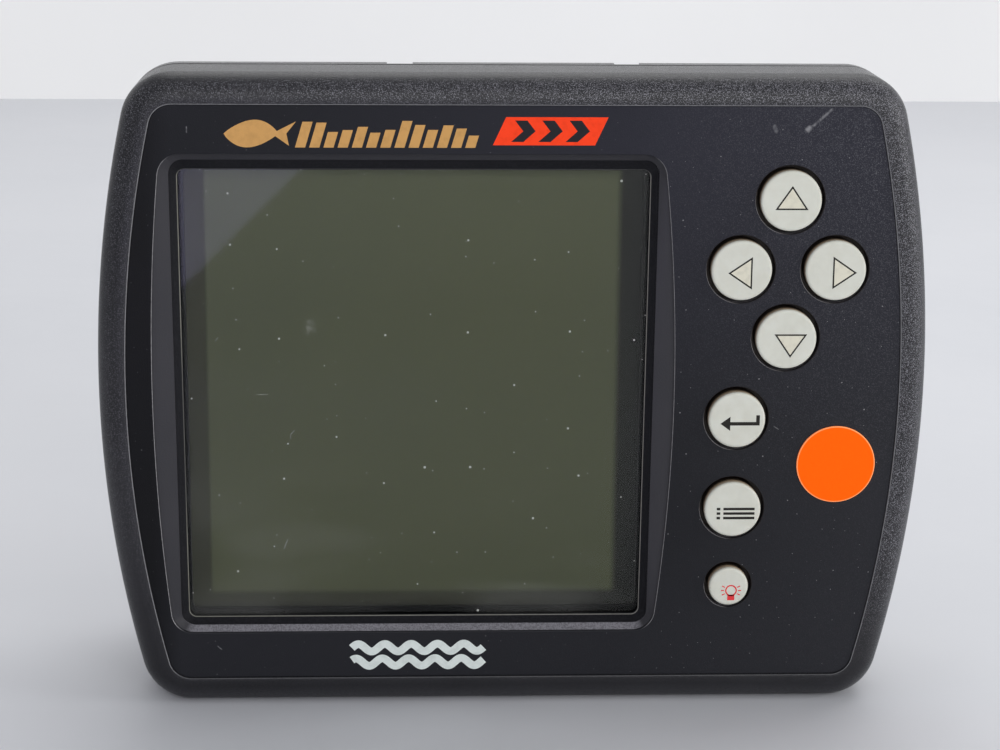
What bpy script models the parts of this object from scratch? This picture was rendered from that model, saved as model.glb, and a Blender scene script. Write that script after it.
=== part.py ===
"""Marine fish finder head unit: a barrel-sided front bezel with a display window and a rubber
keypad, a tapered rear housing with two sockets, and the boards, seals and screws between them.

Front faces -Y, right is +X, up is +Z. The unit stands on Z = 0 with the origin under its middle.
Depths are metres behind the printed face: the empty "face_datum" carries every piece, and its
local Y is the depth.
"""

import math

import bmesh
import bpy

# Case outline, seen from the front
CASE_WIDTH = 0.160
CASE_HEIGHT = 0.1245
SIDE_RADIUS = 0.2344            # the sides bow outwards
SIDE_PEAK_Z = 0.0651            # height of the widest point
CORNER_RADIUS = 0.010
SMALL_CORNER = 0.0015           # corners of inner pieces
STRAIGHT = 50.0                 # arc radius that stands for a straight side

# Depths
KEY_PROUD = 0.0014
REAR_REACH = 0.0580             # back of the socket barrels
TOTAL_DEPTH = KEY_PROUD + REAR_REACH
GAP = 0.0003                    # clearance between pieces that touch

# Front bezel
RIM_PROUD = 0.0004              # the border stands this far in front of the printed face
EDGE_ROUND = 0.0050
EDGE_STEPS = 5
BORDER = 0.0054
POCKET_DEPTH = 0.0008
WALL_BACK = 0.0033
WALL = 0.0025
INNER_CHAMFER = (0.0030, 0.0020)      # inset and depth where the wall meets the front
RAIL_FRONT = 0.0100
RAIL_INSET = 0.0080
SEAM_DEPTH = 0.0160

# Printed face
OVERLAY_THICKNESS = 0.0005
DOT_CENTRE = (0.0626, 0.0490)
DOT_RADIUS = 0.00765
DOT_THICKNESS = 0.0002

# Window: recess edge, opening at the foot of the slopes, and visible glass
RECESS_LEFT = (-0.0693, 0.416, 0.0653)       # peak x, arc radius, height of the peak
RECESS_RIGHT = (0.0307, 0.365, 0.0639)
RECESS_Z = (0.0151, 0.1095)
RECESS_CORNER = 0.0043
RECESS_DEPTH = 0.0018
OPENING_X = (-0.0652, 0.0268)
OPENING_Z = (0.0160, 0.1082)
OPENING_CORNER = 0.0027
GLASS_X = (-0.06375, 0.0253)
GLASS_Z = (0.0172, 0.1061)
GLASS_CORNER = 0.0014
WINDOW_SPLAY = 0.0063           # the window's sides open outwards by this much of their height
SEAL_LIP = 0.0036
SEAL_FLANGE = 0.0012
LENS_FRONT = 0.0045
LENS_BACK = 0.0065

# Display module behind the window
LCD_FRAME_MARGIN = 0.0012
LCD_FRAME = (0.0068, 0.0152)
LCD_GLASS = (0.0077, 0.0099)
LCD_LIGHT = (0.0102, 0.0132)
LCD_BOARD = (0.0135, 0.0149)
LCD_FRAME_WALL = 0.0008
LCD_FRAME_LIP = 0.0018
LCD_CORNER = 0.0010
RIBBON_X = (-0.036, -0.004)
RIBBON_Z = 0.094
RIBBON_LOOP = 0.008
RIBBON_THICKNESS = 0.0003

# Keys: four in a diamond and three down the side of the window
PAD_X = 0.0519
PAD_Z = 0.0876
PAD_DX = 0.0090
PAD_DZ = 0.0134
ARROW_RADIUS = 0.00580
WORD_RADIUS = 0.00550
LIGHT_RADIUS = 0.00385
KEY_CLEARANCE = 0.0008
KEYS = (
    ("key_up", PAD_X, PAD_Z + PAD_DZ, ARROW_RADIUS),
    ("key_down", PAD_X, PAD_Z - PAD_DZ, ARROW_RADIUS),
    ("key_left", PAD_X - PAD_DX, PAD_Z, ARROW_RADIUS),
    ("key_right", PAD_X + PAD_DX, PAD_Z, ARROW_RADIUS),
    ("key_select", 0.0429, 0.0582, WORD_RADIUS),
    ("key_menu", 0.0426, 0.0402, WORD_RADIUS),
    ("key_light", 0.0423, 0.0244, LIGHT_RADIUS),
)
KEY_FLANGE_EXTRA = 0.0012
KEY_FLANGE = (0.0036, 0.0046)
KEY_EDGE = 0.0005               # rounding of the key top
CONTACT_RADIUS = 0.0020
CONTACT = (0.0049, 0.0055)
MAT = (0.0055, 0.0067)
MAT_HOLE_EXTRA = 0.0005
KEY_BOARD = (0.0070, 0.0086)
KEY_BOARD_X = 0.0335
KEY_BOARD_RIGHT = 0.0112        # inset from the case side
KEY_BOARD_Z = (0.0170, 0.1095)

# Main board and what stands on it
MAIN_BOARD = (0.0170, 0.0186)
MAIN_BOARD_HALF = 0.0615
MAIN_BOARD_INSET = 0.0100
ON_BOARD = MAIN_BOARD[1] + GAP
POST_RADIUS = 0.0022
POST_X = (-0.058, 0.058)
POST_Z = (0.0122, 0.1123)
POST_PILOT = 0.0012
BOARD_SCREW_TIP = 0.0108
BOARD_SCREW_SHANK = 0.0009
BOARD_SCREW_HEAD = (0.0019, 0.0016)          # radius under the head and at its top
BOARD_SCREW_HEIGHT = 0.0012
SHIELD_X = (-0.052, -0.008)
SHIELD_Z = (0.060, 0.094)
SHIELD_HEIGHT = 0.0075
BOARD_BLOCKS = (                             # name, x range, z range, height, finish
    ("processor", (0.006, 0.030), (0.062, 0.086), 0.0028, "chip"),
    ("memory_chip", (0.036, 0.048), (0.064, 0.084), 0.0026, "chip"),
    ("sonar_transformer", (-0.053, -0.031), (0.026, 0.046), 0.0150, "copper"),
)
BOARD_DRUMS = (                              # name, x, z, radius, height, finish
    ("storage_capacitor", 0.048, 0.040, 0.0062, 0.0200, "sleeve"),
    ("power_inductor", 0.046, 0.022, 0.0060, 0.0080, "copper"),
    ("beeper", 0.004, 0.048, 0.0070, 0.0080, "chip"),
)
HEADER_X = (0.038, 0.058)
HEADER_Z = (0.0475, 0.0525)

# Rear housing
FLANGE_FRONT = SEAM_DEPTH + GAP
FLANGE_BACK = 0.0205
FLANGE_CHAMFER = 0.0008
LEDGE_INSET = 0.0076
SHELL = 0.0020
BODY_BACK = 0.0500
BACK_WALL = 0.0525
BACK_CHAMFER = 0.0025
TAPER = (0.0135, 0.0170, 0.0095)      # side, top and bottom inset where the body ends
FOOT_X = 0.043
FOOT_WIDTH = 0.028
FOOT_PROFILE = ((0.0195, 0.0), (0.0450, 0.0), (0.0490, 0.0035), (0.0490, 0.0110),
                (0.0195, 0.0090))     # (depth, z)
NOTCH_X = 0.022
NOTCH_WIDTH = 0.005
NOTCH_DEPTH = 0.0012
NOTCH_FRONT = 0.0173

# Screws through the rear flange into the bezel's rail
CASE_SCREW_INSET = 0.0039
CASE_SCREW_PLACES = (
    (-0.0660, CASE_HEIGHT - CASE_SCREW_INSET),
    (0.0, CASE_HEIGHT - CASE_SCREW_INSET),
    (0.0660, CASE_HEIGHT - CASE_SCREW_INSET),
    (-0.0645, CASE_SCREW_INSET),
    (0.0, CASE_SCREW_INSET),
    (0.0645, CASE_SCREW_INSET),
)
CASE_SCREW_SHANK = 0.0012
CASE_SCREW_HOLE = 0.00155
CASE_SCREW_TIP = 0.0115
CASE_SCREW_HEAD = (0.0025, 0.0016)    # radius at the rim and on top
CASE_SCREW_HEIGHTS = (0.0011, 0.0018)

# Case seal
SEAL_INSET = (0.0060, 0.0070)
SEAL_DEPTH = (FLANGE_FRONT, 0.0171)

# Sockets on the back wall
SOCKETS = (("power_socket", -0.022, 4), ("transducer_socket", 0.022, 6))
SOCKET_Z = 0.038
SOCKET_HOLE = 0.0070
SOCKET_BODY = 0.0067
SOCKET_BORE = 0.0056
SOCKET_BARREL = 0.0082
SOCKET_FLANGE = 0.0095
SOCKET_PIN_RING = 0.0030
SOCKET_PIN = 0.0006
SOCKET_REACH_IN = 0.0060
SOCKET_CORE = 0.0045
SOCKET_PIN_PROUD = 0.0043
SOCKET_SEAL = 0.0008
SOCKET_RIM = 0.0013
NUT_THICKNESS = 0.0035

# Bracket knob bosses on the sides
BOSS_DEPTH = 0.036
BOSS_Z = 0.056
BOSS_RADIUS = 0.0110
BOSS_X = (0.0675, 0.0785)
INSERT_RADIUS = 0.0045
INSERT_BORE = 0.0034
INSERT_X = (0.0698, 0.0785)
INSERT_FLOOR = 0.0712

# Vent and blank plate on the back wall
VENT_PLACE = (0.0, 0.062)
VENT_HOLE = 0.0030
VENT_STEM = 0.0027
VENT_HEAD = (0.0050, 0.0042)          # radius at the rim and on top
VENT_HEIGHTS = (0.0012, 0.0018)
PLATE_SIZE = (0.074, 0.028)
PLATE_Z = 0.088
PLATE_THICKNESS = 0.0005
OVERCUT = 0.001                 # how far a cutter runs past what it cuts

ROUND = 24                      # sides of a large round piece
SMALL_ROUND = 12


# ---------------------------------------------------------------- materials and objects

def material(name, colour, roughness, metallic=0.0):
    """A plain Principled material, made once for each name."""
    found = bpy.data.materials.get(name)
    if found:
        return found
    made = bpy.data.materials.new(name)
    made.use_nodes = True
    shader = made.node_tree.nodes["Principled BSDF"]
    shader.inputs["Base Color"].default_value = (*colour, 1.0)
    shader.inputs["Roughness"].default_value = roughness
    shader.inputs["Metallic"].default_value = metallic
    made.diffuse_color = (*colour, 1.0)
    return made


def paints():
    """Every finish of the unit."""
    return {
        "case": material("charcoal_case", (0.025, 0.025, 0.028), 0.55),
        "face": material("navy_face", (0.012, 0.013, 0.018), 0.40),
        "rubber": material("black_rubber", (0.015, 0.015, 0.016), 0.70),
        "clear": material("clear_lens", (0.75, 0.80, 0.80), 0.05),
        "lcd": material("lcd_grey", (0.065, 0.070, 0.050), 0.20),
        "key": material("cream_silicone", (0.80, 0.77, 0.70), 0.45),
        "carbon": material("carbon_pill", (0.02, 0.02, 0.02), 0.80),
        "orange": material("orange_paper", (1.0, 0.13, 0.01), 0.50),
        "board": material("green_board", (0.01, 0.12, 0.05), 0.40),
        "steel": material("plated_steel", (0.55, 0.56, 0.58), 0.30, 1.0),
        "brass": material("brass", (0.72, 0.50, 0.20), 0.30, 1.0),
        "chip": material("chip_black", (0.02, 0.02, 0.022), 0.50),
        "white": material("diffuser_white", (0.80, 0.80, 0.78), 0.50),
        "copper": material("copper_wire", (0.70, 0.30, 0.15), 0.35, 1.0),
        "sleeve": material("blue_sleeve", (0.03, 0.06, 0.22), 0.35),
        "film": material("amber_film", (0.55, 0.28, 0.05), 0.35),
        "plate": material("grey_plate", (0.35, 0.36, 0.37), 0.40),
    }


def make_object(name, bm, paint, datum, place=(0.0, 0.0, 0.0)):
    """Close a bmesh into a named object that hangs on the datum."""
    bmesh.ops.recalc_face_normals(bm, faces=bm.faces)
    mesh = bpy.data.meshes.new(name)
    bm.to_mesh(mesh)
    bm.free()
    mesh.shade_smooth()
    mesh.set_sharp_from_angle(angle=math.radians(32.0))
    mesh.materials.append(paint)
    obj = bpy.data.objects.new(name, mesh)
    bpy.context.scene.collection.objects.link(obj)
    obj.parent = datum
    obj.location = place
    return obj


def combine(target, tool, operation="DIFFERENCE"):
    """Cut the tool from the target, or join it on."""
    step = target.modifiers.new(tool.name, "BOOLEAN")
    step.operation = operation
    step.solver = "EXACT"
    step.object = tool
    tool.hide_render = True
    tool.display_type = "WIRE"


# ---------------------------------------------------------------- outlines

def right_side(peak, radius, height, bottom, top, corner, side_steps, corner_steps):
    """Points from the bottom edge, round a corner, up a bowed side and round to the top edge."""
    centre_x = peak - radius
    points = []
    ends = []
    for edge, sign in ((bottom, -1.0), (top, 1.0)):
        corner_z = edge - sign * corner
        reach = radius - corner
        corner_x = centre_x + math.sqrt(reach ** 2 - (corner_z - height) ** 2)
        angle = math.atan2(corner_z - height, corner_x - centre_x)
        ends.append((corner_x, corner_z, angle))
    corner_x, corner_z, low = ends[0]
    for step in range(corner_steps + 1):
        turn = -math.pi / 2 + (low + math.pi / 2) * step / corner_steps
        points.append((corner_x + corner * math.cos(turn), corner_z + corner * math.sin(turn)))
    corner_x, corner_z, high = ends[1]
    half = side_steps // 2
    for step in range(1 - half, half):
        turn = (high if step > 0 else -low) * step / half
        points.append((centre_x + radius * math.cos(turn), height + radius * math.sin(turn)))
    for step in range(corner_steps + 1):
        turn = high + (math.pi / 2 - high) * step / corner_steps
        points.append((corner_x + corner * math.cos(turn), corner_z + corner * math.sin(turn)))
    return points


def outline(left, right, bottom, top, corner, side_steps=8, corner_steps=4):
    """A closed outline of (x, z) points; left and right are (peak x, arc radius, peak height)."""
    steps = (bottom, top, corner, side_steps, corner_steps)
    right_points = right_side(*right, *steps)
    left_points = right_side(-left[0], left[1], left[2], *steps)
    return right_points + [(-x, z) for x, z in reversed(left_points)]


def case_outline(inset, top=None, bottom=None):
    """The case outline moved inwards; the top and bottom edges can move by their own amounts."""
    half = (CASE_WIDTH / 2 - inset, SIDE_RADIUS - inset, SIDE_PEAK_Z)
    top = inset if top is None else top
    bottom = inset if bottom is None else bottom
    corner = max(CORNER_RADIUS - inset, SMALL_CORNER)
    return outline((-half[0], *half[1:]), half, bottom, CASE_HEIGHT - top, corner)


def box_outline(x_range, z_range, corner, side_steps=2, corner_steps=2):
    """A rectangle with rounded corners."""
    left = (x_range[0], STRAIGHT, sum(z_range) / 2)
    right = (x_range[1], STRAIGHT, sum(z_range) / 2)
    return outline(left, right, *z_range, corner, side_steps, corner_steps)


def window_outline(x_range, z_range, corner, side_steps=2, corner_steps=4):
    """A window edge: a rounded rectangle that is slightly wider at the top."""
    middle_x, middle_z = sum(x_range) / 2, sum(z_range) / 2
    points = box_outline(x_range, z_range, corner, side_steps, corner_steps)
    spread = 2 * WINDOW_SPLAY / (x_range[1] - x_range[0])
    return [(x + (x - middle_x) * (z - middle_z) * spread, z) for x, z in points]


def grown(values, margin):
    """A (low, high) range moved outwards at both ends."""
    return (values[0] - margin, values[1] + margin)


def circle(radius, sides, x=0.0, z=0.0):
    """A closed round outline."""
    turns = [2 * math.pi * step / sides for step in range(sides)]
    return [(x + radius * math.cos(turn), z + radius * math.sin(turn)) for turn in turns]


# ---------------------------------------------------------------- solids

def add_loft(bm, sections, ring=False):
    """Skin a row of (depth, outline) sections; the ends are capped, or joined for a ring."""
    rows = [[bm.verts.new((x, depth, z)) for x, z in points] for depth, points in sections]
    pairs = list(zip(rows, rows[1:]))
    if ring:
        pairs.append((rows[-1], rows[0]))
    for near, far in pairs:
        count = len(near)
        for i in range(count):
            j = (i + 1) % count
            bm.faces.new((near[i], near[j], far[j], far[i]))
    if not ring:
        bm.faces.new(rows[0])
        bm.faces.new(rows[-1])


def loft(name, sections, paint, datum, ring=False, place=(0.0, 0.0, 0.0)):
    """One solid skinned over its sections."""
    bm = bmesh.new()
    add_loft(bm, sections, ring)
    return make_object(name, bm, paint, datum, place)


def along_x(name, x_range, points, paint, datum):
    """A (depth, z) outline pushed along X."""
    bm = bmesh.new()
    rows = [[bm.verts.new((x, depth, z)) for depth, z in points] for x in x_range]
    count = len(points)
    for i in range(count):
        j = (i + 1) % count
        bm.faces.new((rows[0][i], rows[0][j], rows[1][j], rows[1][i]))
    bm.faces.new(rows[0])
    bm.faces.new(rows[1])
    return make_object(name, bm, paint, datum)


def slab(name, points, depths, paint, datum):
    """An outline given a thickness."""
    return loft(name, [(depths[0], points), (depths[1], points)], paint, datum)


def turned(name, profile, sides, paint, datum, place, ring=False):
    """A round piece along the depth axis from a list of (depth, radius)."""
    sections = [(depth, circle(radius, sides)) for depth, radius in profile]
    return loft(name, sections, paint, datum, ring, place)


def block(name, x_range, depths, z_range, paint, datum):
    """A plain box, used for small chips and cutters."""
    corners = [(x_range[0], z_range[0]), (x_range[1], z_range[0]),
               (x_range[1], z_range[1]), (x_range[0], z_range[1])]
    return slab(name, corners, depths, paint, datum)


def drill(name, places, depths, paint, datum, sides=SMALL_ROUND):
    """A set of round cutters; each place is (x, z, radius)."""
    bm = bmesh.new()
    for x, z, radius in places:
        points = circle(radius, sides, x, z)
        add_loft(bm, [(depths[0], points), (depths[1], points)])
    return make_object(name, bm, paint, datum)


# ---------------------------------------------------------------- front

def front_bezel(paint, datum):
    """The moulded front: rounded border, pocket for the printed face, window and key holes."""
    border = BORDER + GAP
    sections = [(POCKET_DEPTH, case_outline(border)), (-RIM_PROUD, case_outline(border))]
    for step in range(EDGE_STEPS + 1):
        turn = math.pi / 2 * step / EDGE_STEPS
        inset = EDGE_ROUND * (1 - math.sin(turn))
        depth = -RIM_PROUD + EDGE_ROUND * (1 - math.cos(turn))
        sections.append((depth, case_outline(inset)))
    sections += [
        (SEAM_DEPTH, case_outline(0.0)),
        (SEAM_DEPTH, case_outline(RAIL_INSET)),
        (RAIL_FRONT, case_outline(RAIL_INSET)),
        (RAIL_FRONT, case_outline(WALL)),
        (WALL_BACK + INNER_CHAMFER[1], case_outline(WALL)),
        (WALL_BACK, case_outline(WALL + INNER_CHAMFER[0])),
    ]
    bezel = loft("front_bezel", sections, paint["case"], datum)

    recess = outline(RECESS_LEFT, RECESS_RIGHT, *RECESS_Z, RECESS_CORNER)
    opening = window_outline(OPENING_X, OPENING_Z, OPENING_CORNER, 8)
    window = [(-RIM_PROUD - OVERCUT, recess), (POCKET_DEPTH, recess), (RECESS_DEPTH, opening),
              (WALL_BACK + OVERCUT, opening)]
    combine(bezel, loft("cut_window", window, paint["case"], datum))

    holes = [(x, z, radius + KEY_CLEARANCE) for _, x, z, radius in KEYS]
    depths = (-RIM_PROUD - OVERCUT, WALL_BACK + OVERCUT)
    combine(bezel, drill("cut_key_holes", holes, depths, paint["case"], datum, ROUND))

    posts = [(x, z, POST_RADIUS) for x in POST_X for z in POST_Z]
    post_depths = (WALL_BACK - OVERCUT, MAIN_BOARD[0] - GAP)
    combine(bezel, drill("join_posts", posts, post_depths, paint["case"], datum), "UNION")
    pilots = [(x, z, POST_PILOT) for x in POST_X for z in POST_Z]
    pilot_depths = (BOARD_SCREW_TIP - GAP, MAIN_BOARD[0] + OVERCUT)
    combine(bezel, drill("cut_pilots", pilots, pilot_depths, paint["case"], datum))

    screws = [(x, z, CASE_SCREW_HOLE) for x, z in CASE_SCREW_PLACES]
    depths = (CASE_SCREW_TIP - GAP, SEAM_DEPTH + OVERCUT)
    combine(bezel, drill("cut_rail_holes", screws, depths, paint["case"], datum))


def face_overlay(paint, datum):
    """The printed film on the front, with the window and the keys cut out."""
    overlay = slab("face_overlay", case_outline(BORDER + 2 * GAP), (0.0, OVERLAY_THICKNESS),
                   paint["face"], datum)
    recess = outline(RECESS_LEFT, RECESS_RIGHT, *RECESS_Z, RECESS_CORNER)
    through = (-OVERCUT, OVERLAY_THICKNESS + OVERCUT)
    combine(overlay, slab("cut_face_window", recess, through, paint["face"], datum))
    holes = [(x, z, radius + KEY_CLEARANCE) for _, x, z, radius in KEYS]
    combine(overlay, drill("cut_face_holes", holes, through, paint["face"], datum, ROUND))


def stock_dot(paint, datum):
    """A round paper sticker on the printed face."""
    profile = [(-GAP - DOT_THICKNESS, DOT_RADIUS), (-GAP, DOT_RADIUS)]
    place = (DOT_CENTRE[0], 0.0, DOT_CENTRE[1])
    turned("inventory_dot", profile, ROUND, paint["orange"], datum, place)


def window_stack(paint, datum):
    """Seal, lens and the display module behind the window, from front to back."""
    glass = window_outline(GLASS_X, GLASS_Z, GLASS_CORNER)
    opening = window_outline(grown(OPENING_X, -GAP), grown(OPENING_Z, -GAP), OPENING_CORNER)
    wide = window_outline(grown(OPENING_X, SEAL_FLANGE), grown(OPENING_Z, SEAL_FLANGE),
                          OPENING_CORNER)
    seal_back = LENS_FRONT - GAP
    seal = [(RECESS_DEPTH, opening), (SEAL_LIP, glass), (seal_back, glass),
            (seal_back, wide), (WALL_BACK + GAP, wide), (WALL_BACK + GAP, opening)]
    loft("window_seal", seal, paint["rubber"], datum, ring=True)
    slab("window_lens", wide, (LENS_FRONT, LENS_BACK), paint["clear"], datum)

    outer_x = grown(GLASS_X, LCD_FRAME_MARGIN)
    outer_z = grown(GLASS_Z, LCD_FRAME_MARGIN)
    outer = box_outline(outer_x, outer_z, SMALL_CORNER)
    inner = box_outline(grown(outer_x, -LCD_FRAME_WALL), grown(outer_z, -LCD_FRAME_WALL), LCD_CORNER)
    lip = box_outline(grown(outer_x, -LCD_FRAME_LIP), grown(outer_z, -LCD_FRAME_LIP), LCD_CORNER)
    front, back = LCD_FRAME
    lip_back = LCD_GLASS[0] - GAP
    frame = [(front, lip), (front, outer), (back, outer), (back, inner),
             (lip_back, inner), (lip_back, lip)]
    loft("lcd_frame", frame, paint["steel"], datum, ring=True)

    slack = LCD_FRAME_WALL + GAP
    x_range = grown(outer_x, -slack)
    z_range = grown(outer_z, -slack)
    fitted = box_outline(x_range, z_range, LCD_CORNER)
    slab("lcd_glass", fitted, LCD_GLASS, paint["lcd"], datum)
    slab("lcd_backlight", fitted, LCD_LIGHT, paint["white"], datum)
    slab("lcd_board", fitted, LCD_BOARD, paint["board"], datum)


def lcd_ribbon(paint, datum):
    """A folded flat cable between the display board and the main board."""
    near, far = LCD_BOARD[1] + GAP, MAIN_BOARD[0] - GAP
    low, high = RIBBON_Z, RIBBON_Z + RIBBON_LOOP
    thick = RIBBON_THICKNESS
    profile = [(near, low), (near, high), (far, high), (far, low), (far - thick, low),
               (far - thick, high - thick), (near + thick, high - thick), (near + thick, low)]
    along_x("lcd_ribbon", RIBBON_X, profile, paint["film"], datum)


# ---------------------------------------------------------------- keypad

def keypad(paint, datum):
    """Seven keys with their contact pills, the mat round them and the key board below."""
    for name, x, z, radius in KEYS:
        profile = [
            (-KEY_PROUD, radius - KEY_EDGE),
            (-KEY_PROUD + 0.3 * KEY_EDGE, radius - 0.3 * KEY_EDGE),
            (-KEY_PROUD + KEY_EDGE, radius),
            (KEY_FLANGE[0], radius),
            (KEY_FLANGE[0], radius + KEY_FLANGE_EXTRA),
            (KEY_FLANGE[1], radius + KEY_FLANGE_EXTRA),
        ]
        turned(name, profile, ROUND, paint["key"], datum, (x, 0.0, z))
        pill = [(CONTACT[0], CONTACT_RADIUS), (CONTACT[1], CONTACT_RADIUS)]
        turned(name + "_contact", pill, SMALL_ROUND, paint["carbon"], datum, (x, 0.0, z))

    right = CASE_WIDTH / 2 - KEY_BOARD_RIGHT
    shape = outline((KEY_BOARD_X, STRAIGHT, SIDE_PEAK_Z),
                    (right, SIDE_RADIUS - KEY_BOARD_RIGHT, SIDE_PEAK_Z), *KEY_BOARD_Z,
                    SMALL_CORNER)
    mat = slab("keypad_mat", shape, MAT, paint["rubber"], datum)
    extra = KEY_FLANGE_EXTRA + MAT_HOLE_EXTRA
    holes = [(x, z, radius + extra) for _, x, z, radius in KEYS]
    depths = grown(MAT, OVERCUT)
    combine(mat, drill("cut_mat_holes", holes, depths, paint["rubber"], datum, ROUND))
    slab("key_board", shape, KEY_BOARD, paint["board"], datum)


# ---------------------------------------------------------------- electronics

def main_board(paint, datum):
    """The main board, its four screws and the parts that stand on its back."""
    z_range = (MAIN_BOARD_INSET, CASE_HEIGHT - MAIN_BOARD_INSET)
    shape = box_outline((-MAIN_BOARD_HALF, MAIN_BOARD_HALF), z_range, SMALL_CORNER)
    board = slab("main_board", shape, MAIN_BOARD, paint["board"], datum)
    holes = [(x, z, POST_PILOT + GAP) for x in POST_X for z in POST_Z]
    depths = grown(MAIN_BOARD, OVERCUT)
    combine(board, drill("cut_board_holes", holes, depths, paint["board"], datum))

    places = [(x, z) for x in POST_X for z in POST_Z]
    rim, top = BOARD_SCREW_HEAD
    for number, (x, z) in enumerate(places, start=1):
        profile = [(BOARD_SCREW_TIP, BOARD_SCREW_SHANK), (ON_BOARD, BOARD_SCREW_SHANK),
                   (ON_BOARD, rim), (ON_BOARD + BOARD_SCREW_HEIGHT, top)]
        turned(f"board_screw_{number}", profile, SMALL_ROUND, paint["steel"], datum, (x, 0.0, z))

    can = box_outline(SHIELD_X, SHIELD_Z, SMALL_CORNER)
    slab("shield_can", can, (ON_BOARD, ON_BOARD + SHIELD_HEIGHT), paint["steel"], datum)
    for name, x_range, z_range, height, finish in BOARD_BLOCKS:
        block(name, x_range, (ON_BOARD, ON_BOARD + height), z_range, paint[finish], datum)
    for name, x, z, radius, height, finish in BOARD_DRUMS:
        profile = [(ON_BOARD, radius), (ON_BOARD + height, radius)]
        turned(name, profile, ROUND, paint[finish], datum, (x, 0.0, z))
    between = (KEY_BOARD[1] + GAP, MAIN_BOARD[0] - GAP)
    block("board_header", HEADER_X, between, HEADER_Z, paint["chip"], datum)


# ---------------------------------------------------------------- rear

def rear_body_outline(depth, inset=0.0):
    """The tapered body behind the ledge, at a depth and moved inwards."""
    along = (depth - FLANGE_BACK) / (BODY_BACK - FLANGE_BACK)
    side, top, bottom = [LEDGE_INSET + (end - LEDGE_INSET) * along + inset for end in TAPER]
    return case_outline(side, top, bottom)


def foot(word, sign, paint, datum):
    """A rib under the body that carries the back of the unit level with the bezel."""
    middle = sign * FOOT_X
    x_range = (middle - FOOT_WIDTH / 2, middle + FOOT_WIDTH / 2)
    return along_x(f"join_foot_{word}", x_range, FOOT_PROFILE, paint, datum)


def side_round(name, sign, x_range, radius, paint, datum):
    """A cylinder along X at a knob boss."""
    points = [(BOSS_DEPTH + a, BOSS_Z + b) for a, b in circle(radius, ROUND)]
    return along_x(name, [sign * x for x in x_range], points, paint, datum)


def rear_housing(paint, datum):
    """The rear shell: flange, ledge, tapered body, feet, knob bosses and its holes."""
    sections = [
        (BACK_WALL, case_outline(*[inset + BACK_CHAMFER for inset in TAPER])),
        (BODY_BACK, rear_body_outline(BODY_BACK)),
        (FLANGE_BACK, rear_body_outline(FLANGE_BACK)),
        (FLANGE_BACK, case_outline(FLANGE_CHAMFER)),
        (FLANGE_BACK - FLANGE_CHAMFER, case_outline(0.0)),
        (FLANGE_FRONT, case_outline(0.0)),
        (FLANGE_FRONT, case_outline(LEDGE_INSET + SHELL)),
        (FLANGE_BACK, case_outline(LEDGE_INSET + SHELL)),
        (BODY_BACK, rear_body_outline(BODY_BACK, SHELL)),
    ]
    shell = loft("rear_housing", sections, paint["case"], datum)

    for word, sign in (("left", -1), ("right", 1)):
        combine(shell, foot(word, sign, paint["case"], datum), "UNION")
        boss = side_round(f"join_boss_{word}", sign, BOSS_X, BOSS_RADIUS, paint["case"], datum)
        combine(shell, boss, "UNION")
        hole_x = (INSERT_X[0] - GAP, BOSS_X[1] + OVERCUT)
        hole = side_round(f"cut_boss_{word}", sign, hole_x, INSERT_RADIUS + GAP,
                          paint["case"], datum)
        combine(shell, hole)
        notch_x = sign * NOTCH_X
        notch = block(f"cut_notch_{word}", (notch_x - NOTCH_WIDTH / 2, notch_x + NOTCH_WIDTH / 2),
                      (NOTCH_FRONT, FLANGE_BACK + OVERCUT),
                      (CASE_HEIGHT - NOTCH_DEPTH, CASE_HEIGHT + OVERCUT), paint["case"], datum)
        combine(shell, notch)

    groove_depths = (FLANGE_FRONT - OVERCUT, SEAL_DEPTH[1] + GAP)
    outer = case_outline(SEAL_INSET[0] - GAP)
    inner = case_outline(SEAL_INSET[1] + GAP)
    groove = [(groove_depths[0], outer), (groove_depths[1], outer),
              (groove_depths[1], inner), (groove_depths[0], inner)]
    combine(shell, loft("cut_seal_groove", groove, paint["case"], datum, ring=True))

    screws = [(x, z, CASE_SCREW_HOLE) for x, z in CASE_SCREW_PLACES]
    depths = (FLANGE_FRONT - OVERCUT, FLANGE_BACK + OVERCUT)
    combine(shell, drill("cut_flange_holes", screws, depths, paint["case"], datum))

    back = [(x, SOCKET_Z, SOCKET_HOLE) for _, x, _ in SOCKETS] + [(*VENT_PLACE, VENT_HOLE)]
    depths = (BODY_BACK - OVERCUT, BACK_WALL + OVERCUT)
    combine(shell, drill("cut_back_holes", back, depths, paint["case"], datum, ROUND))


def case_seal(paint, datum):
    """The square-section rubber ring between the two halves."""
    outer = case_outline(SEAL_INSET[0])
    inner = case_outline(SEAL_INSET[1])
    ring = [(SEAL_DEPTH[0], outer), (SEAL_DEPTH[1], outer),
            (SEAL_DEPTH[1], inner), (SEAL_DEPTH[0], inner)]
    loft("case_seal", ring, paint["rubber"], datum, ring=True)


def case_screws(paint, datum):
    """Six screws from the back, through the ledge into the bezel's rail."""
    under_head = FLANGE_BACK + GAP
    rim, top = CASE_SCREW_HEAD
    rim_height, top_height = CASE_SCREW_HEIGHTS
    for number, (x, z) in enumerate(CASE_SCREW_PLACES, start=1):
        profile = [(CASE_SCREW_TIP, CASE_SCREW_SHANK), (under_head, CASE_SCREW_SHANK),
                   (under_head, rim), (under_head + rim_height, rim),
                   (under_head + top_height, top)]
        turned(f"case_screw_{number}", profile, SMALL_ROUND, paint["steel"], datum, (x, 0.0, z))


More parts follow.
